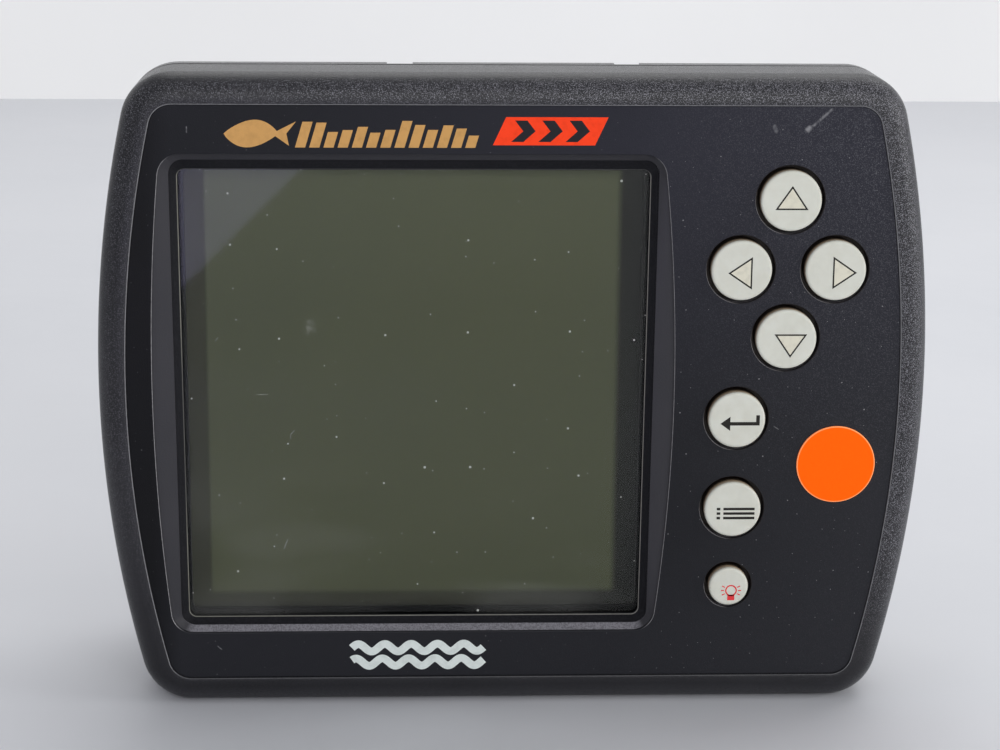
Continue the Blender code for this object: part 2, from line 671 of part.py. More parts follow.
def socket(name, x, pins, paint, datum):
    """One round socket: threaded shell, pin core, nut inside the wall and seal outside it."""
    place = (x, 0.0, SOCKET_Z)
    seal = (BACK_WALL + GAP, BACK_WALL + GAP + SOCKET_SEAL)
    flange = (seal[1] + GAP, seal[1] + GAP + SOCKET_RIM)
    inner_end = BODY_BACK - SOCKET_REACH_IN
    shell = [
        (REAR_REACH, SOCKET_BORE), (REAR_REACH, SOCKET_BARREL), (flange[1], SOCKET_BARREL),
        (flange[1], SOCKET_FLANGE), (flange[0], SOCKET_FLANGE), (flange[0], SOCKET_BODY),
        (inner_end, SOCKET_BODY), (inner_end, SOCKET_BORE),
    ]
    turned(f"{name}_shell", shell, ROUND, paint["chip"], datum, place, ring=True)

    core_face = inner_end + SOCKET_CORE
    profile = [(inner_end, SOCKET_BORE - GAP), (core_face, SOCKET_BORE - GAP)]
    core = turned(f"{name}_core", profile, ROUND, paint["brass"], datum, place)
    turns = [2 * math.pi * (step + 0.5) / pins for step in range(pins)]
    places = [(x + SOCKET_PIN_RING * math.cos(turn), SOCKET_Z + SOCKET_PIN_RING * math.sin(turn),
               SOCKET_PIN) for turn in turns]
    pin_depths = (core_face - OVERCUT, core_face + SOCKET_PIN_PROUD)
    combine(core, drill(f"join_{name}_pins", places, pin_depths, paint["brass"], datum, 10),
            "UNION")

    against_wall = BODY_BACK - GAP
    nut = [(against_wall - NUT_THICKNESS, SOCKET_FLANGE), (against_wall, SOCKET_FLANGE),
           (against_wall, SOCKET_HOLE), (against_wall - NUT_THICKNESS, SOCKET_HOLE)]
    turned(f"{name}_nut", nut, ROUND, paint["steel"], datum, place, ring=True)
    washer = [(seal[0], SOCKET_FLANGE), (seal[1], SOCKET_FLANGE),
              (seal[1], SOCKET_HOLE), (seal[0], SOCKET_HOLE)]
    turned(f"{name}_seal", washer, ROUND, paint["rubber"], datum, place, ring=True)


def back_fittings(paint, datum):
    """Brass knob inserts, the vent plug and the blank plate."""
    for sign, word in ((-1, "left"), (1, "right")):
        insert = side_round(f"knob_insert_{word}", sign, INSERT_X, INSERT_RADIUS,
                            paint["brass"], datum)
        bore = side_round(f"cut_insert_{word}", sign, (INSERT_FLOOR, INSERT_X[1] + OVERCUT),
                          INSERT_BORE, paint["brass"], datum)
        combine(insert, bore)

    rest = BACK_WALL + GAP
    rim, top = VENT_HEAD
    rim_height, top_height = VENT_HEIGHTS
    profile = [(BODY_BACK - OVERCUT, VENT_STEM), (rest, VENT_STEM), (rest, rim),
               (rest + rim_height, rim), (rest + top_height, top)]
    place = (VENT_PLACE[0], 0.0, VENT_PLACE[1])
    turned("vent_plug", profile, ROUND, paint["rubber"], datum, place)

    half_x, half_z = PLATE_SIZE[0] / 2, PLATE_SIZE[1] / 2
    shape = box_outline((-half_x, half_x), (PLATE_Z - half_z, PLATE_Z + half_z), SMALL_CORNER)
    slab("rear_plate", shape, (rest, rest + PLATE_THICKNESS), paint["plate"], datum)


def build():
    """Empty the scene and build the whole unit."""
    for obj in list(bpy.data.objects):
        bpy.data.objects.remove(obj, do_unlink=True)
    datum = bpy.data.objects.new("face_datum", None)
    bpy.context.scene.collection.objects.link(datum)
    datum.location = (0.0, KEY_PROUD - TOTAL_DEPTH / 2, 0.0)
    paint = paints()
    front_bezel(paint, datum)
    face_overlay(paint, datum)
    stock_dot(paint, datum)
    window_stack(paint, datum)
    lcd_ribbon(paint, datum)
    keypad(paint, datum)
    main_board(paint, datum)
    rear_housing(paint, datum)
    case_seal(paint, datum)
    case_screws(paint, datum)
    for name, x, pins in SOCKETS:
        socket(name, x, pins, paint, datum)
    back_fittings(paint, datum)


build()
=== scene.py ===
"""The look of a marine fish finder head unit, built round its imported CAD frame.

Front faces -Y, right is +X and up is +Z, in metres. Depths are measured behind the printed face.
Each detailed piece repeats the sizes of the plain CAD solid that it stands for, apart from the
window recess, whose lower edge sits 0.2 mm lower.
"""

import math

import bmesh
import bpy
from mathutils import Matrix, Vector


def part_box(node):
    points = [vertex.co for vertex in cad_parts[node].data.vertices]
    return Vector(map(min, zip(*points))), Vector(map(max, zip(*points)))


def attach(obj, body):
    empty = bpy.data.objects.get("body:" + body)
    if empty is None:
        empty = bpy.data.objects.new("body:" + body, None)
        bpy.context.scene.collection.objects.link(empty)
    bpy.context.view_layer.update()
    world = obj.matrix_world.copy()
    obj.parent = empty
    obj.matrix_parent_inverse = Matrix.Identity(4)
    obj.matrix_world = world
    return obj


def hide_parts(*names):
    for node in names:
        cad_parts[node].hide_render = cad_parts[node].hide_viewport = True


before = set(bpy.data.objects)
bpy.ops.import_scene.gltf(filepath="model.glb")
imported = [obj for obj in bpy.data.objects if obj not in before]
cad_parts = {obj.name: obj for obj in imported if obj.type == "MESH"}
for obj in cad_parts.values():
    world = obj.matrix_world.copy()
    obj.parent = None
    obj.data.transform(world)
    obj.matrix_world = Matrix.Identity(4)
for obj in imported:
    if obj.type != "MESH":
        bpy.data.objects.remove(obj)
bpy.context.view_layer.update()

FACE_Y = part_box("face_overlay")[0].y         # depth 0

# Case outline
CASE_WIDTH = 0.160
CASE_HEIGHT = 0.1245
SIDE_RADIUS = 0.2344
SIDE_PEAK_Z = 0.0651
CORNER_RADIUS = 0.010
STRAIGHT = 50.0                  # arc radius that stands for a straight side

# Front
KEY_PROUD = 0.0014
RIM_PROUD = 0.0004
EDGE_ROUND = 0.0050
EDGE_STEPS = 16
BORDER = 0.0054
GAP = 0.0003
POCKET_DEPTH = 0.0008
WALL_BACK = 0.0033
WALL = 0.0025
RAIL_FRONT = 0.0100
RAIL_INSET = 0.0080
SEAM_DEPTH = 0.0160
LIP = 0.00018                    # worn chamfer on the inner edge of the border
FILM_BACK = 0.00076              # film and its adhesive
FILM_CHAMFER = 0.00012
DOT_CENTRE = (0.0626, 0.0490)
DOT_RADIUS = 0.00765

# Window
RECESS_LEFT = (-0.0693, 0.416, 0.0653)       # peak x, arc radius, height of the peak
RECESS_RIGHT = (0.0307, 0.365, 0.0639)
RECESS_Z = (0.0149, 0.1095)
RECESS_CORNER = 0.0043
RECESS_DEPTH = 0.0018
OPENING_X = (-0.0652, 0.0268)
OPENING_Z = (0.0160, 0.1082)
OPENING_CORNER = 0.0027
GLASS_X = (-0.06375, 0.0253)
GLASS_Z = (0.0172, 0.1061)
GLASS_CORNER = 0.0014
WINDOW_SPLAY = 0.0063            # the window's sides open outwards by this much of their height
SEAL_LIP = 0.0036
SEAL_FLANGE = 0.0012
LENS_FRONT = 0.0045

# Keys: name, x, z, radius
ARROW_RADIUS = 0.00580
WORD_RADIUS = 0.00550
KEYS = (
    ("key_up", 0.0519, 0.1010, ARROW_RADIUS),
    ("key_down", 0.0519, 0.0742, ARROW_RADIUS),
    ("key_left", 0.0429, 0.0876, ARROW_RADIUS),
    ("key_right", 0.0609, 0.0876, ARROW_RADIUS),
    ("key_select", 0.0429, 0.0582, WORD_RADIUS),
    ("key_menu", 0.0426, 0.0402, WORD_RADIUS),
    ("key_light", 0.0423, 0.0244, 0.00385),
)
LEGENDS = {                                  # each legend's shift from the middle of its key
    "key_up": (0.0001, 0.0006), "key_down": (0.0008, -0.0013),
    "key_left": (-0.0003, -0.0005), "key_right": (0.0017, -0.0004),
    "key_select": (0.0006, -0.0007), "key_menu": (0.0006, -0.0008),
    "key_light": (0.0005, -0.0008),
}
KEY_CLEARANCE = 0.0008
KEY_FLANGE_EXTRA = 0.0012
KEY_FLANGE = (0.0036, 0.0046)
KEY_SHOULDER = 0.0005
# dirt and painted shade down the sides of the keys start here and reach this far
DIRT_SHADE_START = 0.00025            # behind the front of a key
DIRT_SHADE_REACH = 0.0026
INK = 0.00002                                # thickness that ink stands proud
SLIVER = 0.00002                             # points closer than this are one

# Rear housing
FLANGE_FRONT = SEAM_DEPTH + GAP
FLANGE_BACK = 0.0205
LEDGE_INSET = 0.0076
SHELL = 0.0020
BODY_BACK = 0.0500
BACK_WALL = 0.0525
BACK_ROUND = 0.0025
TAPER = (0.0135, 0.0170, 0.0095)
FOOT_X = 0.043
FOOT_WIDTH = 0.028
NOTCH_X = 0.022
NOTCH_WIDTH = 0.005
NOTCH_DEPTH = 0.0012
NOTCH_SETBACK = 0.0010           # behind the front of the flange
CASE_SCREW_PLACES = (
    (-0.0660, 0.1206), (0.0, 0.1206), (0.0660, 0.1206),
    (-0.0645, 0.0039), (0.0, 0.0039), (0.0645, 0.0039),
)
CASE_SCREW_HOLE = 0.00155
CASE_SCREW_SHANK = 0.0012
CASE_SCREW_TIP = 0.0115
CASE_SCREW_HEAD = 0.0025
SEAL_INSET = (0.0060, 0.0070)
SEAL_BACK = 0.0171
REAR_REACH = 0.0580
SOCKETS = (("power_socket", -0.022, 4), ("transducer_socket", 0.022, 6))
SOCKET_Z = 0.038
SOCKET_HOLE = 0.0070
SOCKET_BODY = 0.0067
SOCKET_BORE = 0.0056
SOCKET_BARREL = 0.0082
SOCKET_FLANGE = 0.0095
BOSS_DEPTH = 0.036
BOSS_Z = 0.056
BOSS_RADIUS = 0.0110
BOSS_X = (0.0675, 0.0785)
TOOTH_RING = (0.0063, 0.0095)
TOOTH_DEPTH = 0.0004
INSERT_RADIUS = 0.0045
INSERT_BORE = 0.0034
INSERT_X = (0.0698, 0.0785)
INSERT_FLOOR = 0.0712
VENT_PLACE = (0.0, 0.062)
VENT_HOLE = 0.0030
PLATE_SIZE = (0.074, 0.028)
PLATE_Z = 0.088

CUT = 0.001                      # a hole's tool reaches this far past the wall
ROUND = 72                       # sides of a round piece
SHARP = 32.0                     # edges steeper than this many degrees stay sharp
CAMERA_X = -0.02229
CAMERA_REACH = 0.45145           # distance of the camera in front of the printed face
CAMERA_Z = 0.17927
CAMERA_YAW = 2.46
CAMERA_PITCH = 13.96
CAMERA_ROLL = 0.496
CAMERA_LENS = 87.4
STAGE_SIDE = 2.2
STAGE_FRONT = 2.4
FLOOR_BACK = 0.88                # the floor ends here and the pale backdrop stands on it
BACKDROP_TOP = 1.3
KEYS_FROM = 0.034                # the keys lie to the right of this

SCUFFS = (                                   # start, end, half width and strength, on the face
    ((0.0546, 0.1143), (0.0550, 0.1147), 0.00065, 0.50),
    ((0.0550, 0.1145), (0.0591, 0.1182), 0.00034, 0.34),
    ((0.0484, 0.1150), (0.0487, 0.1141), 0.00050, 0.30),
    ((-0.0617, 0.1146), (-0.0617, 0.1136), 0.00016, 0.35),
    ((-0.0579, 0.0122), (-0.0571, 0.0115), 0.00014, 0.35),
    ((0.0503, 0.0566), (0.0512, 0.0560), 0.00012, 0.30),
)

FIBRES = (                                   # start, end and strength, on the lens
    ((-0.0425, 0.0548), (-0.0433, 0.0540), 0.45),
    ((-0.0433, 0.0540), (-0.0433, 0.0532), 0.40),
    ((-0.0441, 0.0326), (-0.0449, 0.0307), 0.45),
    ((-0.0497, 0.0620), (-0.0476, 0.0620), 0.30),
    ((-0.0575, 0.0727), (-0.0570, 0.0733), 0.40),
)
THUMB_MARK = ((-0.0394, 0.0762), (-0.0392, 0.0748))     # start and end, on the lens

# Edges of the display's active area
ACTIVE_LEFT = -0.0593
ACTIVE_RIGHT = 0.0202
ACTIVE_LOW = 0.0208


# ---------------------------------------------------------------- materials

class Paint:
    """A Principled material with short calls for the procedural nodes that feed it."""

    def __init__(self, name, colour, roughness, **sockets):
        self.material = bpy.data.materials.new(name)
        self.material.use_nodes = True
        self.tree = self.material.node_tree
        self.shader = self.tree.nodes["Principled BSDF"]
        self.shader.inputs["Base Color"].default_value = (*colour, 1.0)
        self.shader.inputs["Roughness"].default_value = roughness
        for key, value in sockets.items():
            self.shader.inputs[key.replace("_", " ")].default_value = value
        self.place = self.add("ShaderNodeTexCoord").outputs["Object"]

    def add(self, kind, links=(), **inputs):
        """A node of a kind; inputs are values, or outputs to link."""
        node = self.tree.nodes.new(kind)
        for key, value in inputs.items():
            self.feed(node.inputs[key], value)
        for key, value in links:
            self.feed(node.inputs[key], value)
        return node

    def feed(self, socket, value):
        """Set a socket, or link it to an output."""
        if isinstance(value, bpy.types.NodeSocket):
            self.tree.links.new(value, socket)
        else:
            socket.default_value = value

    def noise(self, scale, detail=2.0, roughness=0.5, stretch=None):
        """Noise from 0 to 1, scale in features per metre."""
        place = self.place
        if stretch:
            mapping = self.add("ShaderNodeMapping", Vector=place, Scale=stretch)
            place = mapping.outputs["Vector"]
        node = self.add("ShaderNodeTexNoise", Vector=place, Scale=scale, Detail=detail,
                        Roughness=roughness)
        return node.outputs["Fac"]

    def remap(self, value, low, high, to_low=0.0, to_high=1.0, smooth=False):
        """A value moved from one range to another."""
        node = self.add("ShaderNodeMapRange", [("Value", value), ("From Min", low),
                        ("From Max", high), ("To Min", to_low), ("To Max", to_high)])
        node.interpolation_type = "SMOOTHSTEP" if smooth else "LINEAR"
        return node.outputs["Result"]

    def spread(self, noise, to_low=0.0, to_high=1.0):
        """Noise moved from the range that it mostly keeps to."""
        return self.remap(noise, 0.3, 0.7, to_low, to_high)

    def step(self, value, place, half):
        """A soft step up at a place, or down where the half width is negative."""
        return self.remap(value, place - half, place + half, smooth=True)

    def maths(self, operation, first, *others):
        """Values joined in turn by an operation."""
        for other in others or (0.0,):
            node = self.add("ShaderNodeMath", [(0, first), (1, other)])
            node.operation = operation
            first = node.outputs[0]
        return first

    def times(self, *values):
        """Values multiplied together."""
        return self.maths("MULTIPLY", *values)

    def most(self, *values):
        """The greatest of some values."""
        return self.maths("MAXIMUM", *values)

    def mix(self, factor, first, second):
        """Two colours mixed."""
        node = self.tree.nodes.new("ShaderNodeMix")
        node.data_type = "RGBA"
        for socket, value in ((0, factor), (6, first), (7, second)):
            if isinstance(value, tuple):
                value = (*value, 1.0)
            self.feed(node.inputs[socket], value)
        return node.outputs[2]

    def specks(self, cell, radius, share):
        """Small round flecks on the face: one cell in so many holds one of about that radius."""
        axes = self.axes()
        flat = self.add("ShaderNodeCombineXYZ", X=axes["X"], Y=axes["Z"]).outputs["Vector"]
        node = self.add("ShaderNodeTexVoronoi", Vector=flat, Scale=1.0 / cell)
        node.voronoi_dimensions = "2D"
        split = self.add("ShaderNodeSeparateColor", Color=node.outputs["Color"])
        size = self.remap(split.outputs["Green"], 0.0, 1.0, 0.3 * radius / cell, radius / cell)
        near = self.maths("LESS_THAN", node.outputs["Distance"], size)
        chosen = self.maths("LESS_THAN", split.outputs["Red"], share)
        return self.times(near, chosen)

    def axes(self):
        """The x, y and z of the surface point."""
        return self.add("ShaderNodeSeparateXYZ", Vector=self.place).outputs

    def facing(self):
        """The x, y and z of the direction that the surface faces."""
        normal = self.add("ShaderNodeTexCoord").outputs["Normal"]
        return self.add("ShaderNodeSeparateXYZ", Vector=normal).outputs

    def line_distance(self, start, end):
        """How far the surface point lies from a short line on the face."""
        (x0, z0), (x1, z1) = start, end
        length = math.hypot(x1 - x0, z1 - z0)
        dx, dz = (x1 - x0) / length, (z1 - z0) / length
        axes = self.axes()
        a = self.maths("SUBTRACT", axes["X"], x0)
        b = self.maths("SUBTRACT", axes["Z"], z0)
        along = self.maths("ADD", self.times(a, dx), self.times(b, dz))
        across = self.maths("SUBTRACT", self.times(a, dz), self.times(b, dx))
        kept = self.maths("MINIMUM", self.most(along, 0.0), length)
        past = self.maths("SUBTRACT", along, kept)
        square = self.maths("ADD", self.times(across, across), self.times(past, past))
        return self.maths("SQRT", square)

    def point_mask(self):
        """The mask kept on the mesh's points: dirt and painted shade on the keys, the pale rim on the
        sticker.
        """
        node = self.tree.nodes.new("ShaderNodeAttribute")
        node.attribute_name = "point_mask"
        return node.outputs["Fac"]

    def layer(self, factor, under, over):
        """Two shaders mixed."""
        return self.add("ShaderNodeMixShader", [(0, factor), (1, under), (2, over)]).outputs[0]

    def bump(self, height, distance):
        """Relief from a height from 0 to 1 and its depth in metres."""
        node = self.add("ShaderNodeBump", Height=height, Distance=distance, Strength=1.0)
        self.feed(self.shader.inputs["Normal"], node.outputs["Normal"])

    def colour(self, output):
        """Drive the base colour."""
        self.feed(self.shader.inputs["Base Color"], output)

    def rough(self, output):
        """Drive the roughness."""
        self.feed(self.shader.inputs["Roughness"], output)

    def uneven(self, scale, low, high):
        """Let the roughness wander between two values."""
        self.rough(self.spread(self.noise(scale), low, high))


def grained(name, dark, light, roughness, grain, depth, painted_glints=0.0, glint_colour=(0.2, 0.2, 0.21),
            gloss=0.5, dust=0.0):
    """Moulded plastic: pale grain flecks that are painted glints, most along the rounding of its top
    and side edges and towards the upper right, paler undersides that are painted floor light, and
    pale dust with a painted highlight from above on its up-facing ledges.
    """
    paint = Paint(name, dark, roughness, Specular_IOR_Level=gloss)
    fine = paint.noise(1.0 / grain, 1.0, 0.6)
    broad = paint.noise(60.0, 2.0)
    shade = paint.mix(paint.spread(broad), dark, light)
    out, up = paint.maths("ABSOLUTE", paint.facing()["X"]), paint.facing()["Z"]
    if painted_glints:
        axes = paint.axes()
        # painted glints: pale flecks of the grain, fewest low down and at the left, most on the
        # rounding of the edges where light falls
        share = paint.times(
            paint.remap(fine, 0.53, 0.66, 0.0, painted_glints),
            paint.remap(axes["Z"], 0.008, 0.040, 0.12, 1.0),
            paint.remap(axes["X"], -0.080, 0.080, 0.32, 1.30),
            paint.remap(out, 0.30, 0.62, 1.0, 1.5), paint.remap(out, 0.72, 0.92, 1.0, 0.25),
            paint.remap(up, 0.05, 0.35, 1.0, 1.8), paint.remap(up, 0.60, 0.92, 1.0, 0.12))
        # painted floor light: undersides made paler, as if lit from below
        painted_floor_light = paint.remap(up, -0.20, -0.60, 0.0, 0.4)
        shade = paint.mix(painted_floor_light, shade, (0.045, 0.045, 0.050))
        shade = paint.mix(share, shade, glint_colour)
    if dust:
        # dust on up-facing ledges together with a painted highlight from above
        ledge_dust_and_light = paint.times(paint.remap(up, 0.55, 0.70, 0.0, dust),
                            paint.remap(fine, 0.35, 0.60, 0.45, 1.0))
        shade = paint.mix(ledge_dust_and_light, shade, (0.27, 0.262, 0.285))
    paint.colour(shade)
    paint.rough(paint.spread(fine, roughness + 0.1, roughness - 0.08))
    paint.bump(fine, depth)
    return paint.material


def film():
    """Dark printed polycarbonate: fine grain, dust and a few scuffs. Painted light makes it lighter,
    with pale painted glints, towards the right; painted shade makes it darkest at the far left; it is
    also lighter along the bottom and tinted navy towards the top right.
    """
    dark, light = (0.0082, 0.0087, 0.0112), (0.0200, 0.0205, 0.0250)
    paint = Paint("navy_film", dark, 0.42, Specular_IOR_Level=0.16)
    fine = paint.noise(6200.0, 1.0)
    axes = paint.axes()
    # painted light: lighter towards the right, where light falls from that side
    side = paint.remap(axes["X"], 0.020, 0.078)
    base = paint.mix(paint.remap(axes["Z"], 0.032, 0.012), dark, (0.0145, 0.0150, 0.0185))
    shade = paint.mix(side, base, light)
    # painted shade at the far left
    shade = paint.mix(paint.remap(axes["X"], -0.065, -0.070), shade, (0.002, 0.0022, 0.003))
    upper = paint.remap(axes["Z"], 0.040, 0.112, 0.12, 1.0)
    # painted glints: pale flecks where the painted light falls, towards the upper right
    grain = paint.times(side, upper, paint.remap(fine, 0.54, 0.66))
    navy = paint.times(paint.remap(axes["Z"], 0.055, 0.112),
                       paint.remap(axes["X"], -0.045, 0.030, 0.0, 0.75))
    shade = paint.mix(navy, shade, (0.024, 0.024, 0.036))
    shade = paint.mix(grain, shade, (0.090, 0.090, 0.102))
    dust = paint.most(paint.specks(0.0075, 0.00015, 0.45), paint.specks(0.0026, 0.00009, 0.35))
    wear = paint.times(dust, paint.remap(axes["X"], -0.01, 0.05, 0.12, 0.50))
    streaks = paint.noise(1500.0, 2.0)
    for start, end, width, strength in SCUFFS:
        edge = paint.remap(paint.line_distance(start, end), width, 0.3 * width, 0.0, strength)
        wear = paint.most(wear, paint.times(edge, paint.remap(streaks, 0.35, 0.6, 0.3, 1.0)))
    paint.colour(paint.mix(wear, shade, (0.42, 0.42, 0.43)))
    paint.rough(paint.remap(paint.noise(45.0, 3.0), 0.35, 0.7, 0.36, 0.50))
    paint.bump(fine, 0.00003)
    return paint.material


def border_edge():
    """The inner edge of the border: a painted highlight, pale except along the bottom and broken up
    by noise.
    """
    paint = Paint("painted_edge_highlight", (0.13, 0.13, 0.135), 0.35, Specular_IOR_Level=0.1)
    low = paint.remap(paint.facing()["Z"], 0.15, 0.35, 1.0, 0.12)
    # painted highlight along the edge, left out where the edge faces up along the bottom
    painted_rim_light = paint.times(low, paint.spread(paint.noise(1800.0), 0.7, 1.0))
    paint.colour(paint.mix(painted_rim_light, (0.012, 0.012, 0.014), (0.23, 0.23, 0.235)))
    paint.uneven(900.0, 0.30, 0.42)
    return paint.material


def film_edge():
    """The cut edge of the film, with a painted highlight at the sides of the window and low left of
    each key.
    """
    paint = Paint("film_edge", (0.02, 0.02, 0.024), 0.3)
    facing = paint.facing()
    keys_here = paint.maths("GREATER_THAN", paint.axes()["X"], KEYS_FROM)
    window_here = paint.maths("SUBTRACT", 1.0, keys_here)
    sides = paint.remap(paint.maths("ABSOLUTE", facing["X"]), 0.30, 0.60)
    lean = paint.maths("ADD", paint.times(facing["X"], 0.8), paint.times(facing["Z"], 0.6))
    low_left = paint.remap(lean, 0.42, 0.66)
    # painted highlight: the edge lit where it faces sideways at the window and up and right at the
    # keys
    painted_edge_light = paint.most(paint.times(sides, window_here), paint.times(low_left, keys_here))
    # the painted highlight, broken up by noise
    worn = paint.times(painted_edge_light, paint.remap(paint.noise(1800.0), 0.3, 0.6, 0.6, 1.0))
    paint.colour(paint.mix(worn, (0.014, 0.014, 0.018), (0.25, 0.245, 0.25)))
    paint.uneven(900.0, 0.30, 0.42)
    return paint.material


def seal_edge():
    """The painted highlight line round the glass, fainter along the top and half way up the left
    side.
    """
    paint = Paint("seal_edge", (0.2, 0.19, 0.17), 0.35)
    axes = paint.axes()
    top = paint.remap(paint.facing()["Z"], -0.5, -0.1, 0.15, 1.0)
    middle = paint.maths("ABSOLUTE", paint.maths("SUBTRACT", axes["Z"], 0.054))
    faded = paint.most(paint.remap(middle, 0.012, 0.022, 0.35, 1.0),
                       paint.maths("GREATER_THAN", axes["X"], -0.055))
    line = paint.mix(paint.remap(axes["X"], -0.05, 0.02), (0.19, 0.190, 0.155), (0.20, 0.195, 0.175))
    # painted highlight: left out where the edge faces down along the top
    share = paint.times(top, faded, paint.spread(paint.noise(1500.0), 0.75, 1.0))
    paint.colour(paint.mix(share, (0.02, 0.02, 0.022), line))
    paint.uneven(900.0, 0.30, 0.42)
    return paint.material


def silicone():
    """Cream silicone; down the sides dirt and painted shade turn it tan, then near black deeper into
    the hole.
    """
    paint = Paint("cream_silicone", (0.78, 0.75, 0.67), 0.48, Subsurface_Weight=0.06,
                  Subsurface_Scale=0.0006)
    paint.shader.inputs["Subsurface Radius"].default_value = (1.0, 0.7, 0.45)
    cloudy = paint.noise(420.0, 3.0)
    cream = paint.mix(paint.spread(cloudy), (0.68, 0.685, 0.605), (0.630, 0.630, 0.545))
    dirt_and_shade = paint.point_mask()
    # dirt and painted shade: tan down the side, near black where it goes into the hole
    tan = paint.mix(paint.remap(dirt_and_shade, 0.0, 0.40), cream, (0.50, 0.37, 0.24))
    paint.colour(paint.mix(paint.remap(dirt_and_shade, 0.40, 0.85), tan, (0.035, 0.022, 0.014)))
    paint.rough(paint.spread(cloudy, 0.42, 0.55))
    paint.bump(paint.noise(2600.0), 0.000006)
    return paint.material


def ink(name, colour, roughness=0.45, worn=0.12, glow=0.0):
    """Screen-printed ink with a slightly uneven lay-down; ink given a glow is painted light, an
    emission that stands in for fluorescence.
    """
    paint = Paint(name, colour, roughness, Specular_IOR_Level=0.2, Emission_Strength=glow)
    paint.shader.inputs["Emission Color"].default_value = (*colour, 1.0)
    uneven = paint.noise(900.0, 3.0)
    thin = tuple(value * 0.78 for value in colour)
    paint.colour(paint.mix(paint.remap(uneven, 0.45, 0.8, 0.0, worn * 6), colour, thin))
    paint.rough(paint.spread(uneven, roughness - 0.06, roughness + 0.08))
    paint.bump(paint.noise(3500.0), 0.000006)
    return paint.material


def sticker():
    """Matt orange label paper with a pale cut edge and a painted glow, an emission that stands in for
    its fluorescence.
    """
    paint = Paint("orange_paper", (1.0, 0.12, 0.002), 0.6, Specular_IOR_Level=0.05,
                  Emission_Strength=0.30)
    paint.shader.inputs["Emission Color"].default_value = (1.0, 0.088, 0.0, 1.0)
    fibre = paint.noise(1800.0, 4.0, 0.7)
    body = paint.mix(paint.spread(fibre), (1.0, 0.118, 0.002), (0.93, 0.108, 0.002))
    paint.colour(paint.mix(paint.point_mask(), body, (1.0, 0.42, 0.16)))
    paint.bump(fibre, 0.00001)
    return paint.material


def lens():
    """A clear pane: it mirrors by Fresnel, lets light through, and carries dust on its front."""
    paint = Paint("clear_lens", (0.55, 0.56, 0.52), 0.8)
    clear = paint.add("ShaderNodeBsdfTransparent", Color=(0.93, 0.95, 0.93, 1.0)).outputs[0]
    gloss = paint.add("ShaderNodeBsdfGlossy", Roughness=0.035).outputs[0]
    pane = paint.layer(paint.add("ShaderNodeFresnel", IOR=1.34).outputs[0], clear, gloss)
    spots = paint.most(paint.times(paint.specks(0.0095, 0.00025, 0.45), 0.90),
                       paint.times(paint.specks(0.0060, 0.00015, 0.45), 0.60))
    for start, end, strength in FIBRES:
        thread_mark = paint.remap(paint.line_distance(start, end), 0.00010, 0.00004, 0.0, strength)
        spots = paint.most(spots, thread_mark)
    axes = paint.axes()
    wipe = paint.remap(paint.noise(80.0, 3.0, 0.5, (0.35, 1.0, 1.0)), 0.45, 0.75, 0.0, 0.07, True)
    low = paint.remap(axes["Z"], 0.056, 0.020, 0.0, 1.0, True)
    thumb = paint.remap(paint.line_distance(*THUMB_MARK), 0.0016, 0.0002, 0.0, 0.17, True)
    mark = paint.times(thumb, paint.remap(paint.noise(1400.0), 0.35, 0.65))
    haze = paint.maths("ADD", paint.times(wipe, low), mark)
    front = paint.maths("LESS_THAN", axes["Y"], FACE_Y + LENS_FRONT + SLIVER)
    cover = paint.times(paint.most(spots, haze), front)
    output = paint.tree.nodes["Material Output"]
    paint.feed(output.inputs["Surface"], paint.layer(cover, pane, paint.shader.outputs[0]))
    return paint.material


def display():
    """An unlit reflective LCD: olive and cloudy, lighter towards the top with a painted reflection,
    and darker round the active area, where a dark margin carries painted shade from the frame,
    deepest at the right and the bottom.
    """
    paint = Paint("lcd_olive", (0.085, 0.090, 0.05), 0.35, Specular_IOR_Level=0.1)
    axes = paint.axes()
    cloud = paint.noise(16.0, 2.0)
    olive = paint.mix(paint.spread(cloud), (0.099, 0.102, 0.052), (0.091, 0.096, 0.054))
    # painted reflection: lighter towards the top
    olive = paint.mix(paint.remap(axes["Z"], 0.080, 0.104, 0.0, 0.5), olive, (0.135, 0.138, 0.080))
    active = paint.times(paint.step(axes["X"], ACTIVE_LEFT, 0.0005),
                         paint.step(axes["X"], ACTIVE_RIGHT, -0.0009),
                         paint.step(axes["Z"], ACTIVE_LOW, 0.0008))
    # dark margin with painted shade from the frame, darkening towards the right, the far right and
    # the bottom
    rim = paint.mix(paint.remap(axes["X"], -0.0100, 0.0200), (0.038, 0.037, 0.019),
                    (0.006, 0.006, 0.003))
    rim = paint.mix(paint.remap(axes["X"], 0.0200, 0.0245), rim, (0.001, 0.001, 0.0005))
    rim = paint.mix(paint.remap(axes["Z"], 0.0190, 0.0168), rim, (0.007, 0.0065, 0.004))
    paint.colour(paint.mix(active, rim, olive))
    paint.rough(paint.spread(cloud, 0.30, 0.38))
    return paint.material


def metal(name, colour, roughness, scratch=(1.0, 1.0, 1.0), depth=0.000004):
    """Plated or bare metal with fine scratches and a patchy shine."""
    paint = Paint(name, colour, roughness, Metallic=1.0)
    fine = paint.noise(2500.0, 3.0, 0.6, scratch)
    patch = paint.noise(300.0, 2.0)
    dull = tuple(value * 0.72 for value in colour)
    paint.colour(paint.mix(paint.remap(patch, 0.35, 0.75), colour, dull))
    paint.rough(paint.spread(fine, roughness - 0.08, roughness + 0.12))
    paint.bump(fine, depth)
    return paint.material


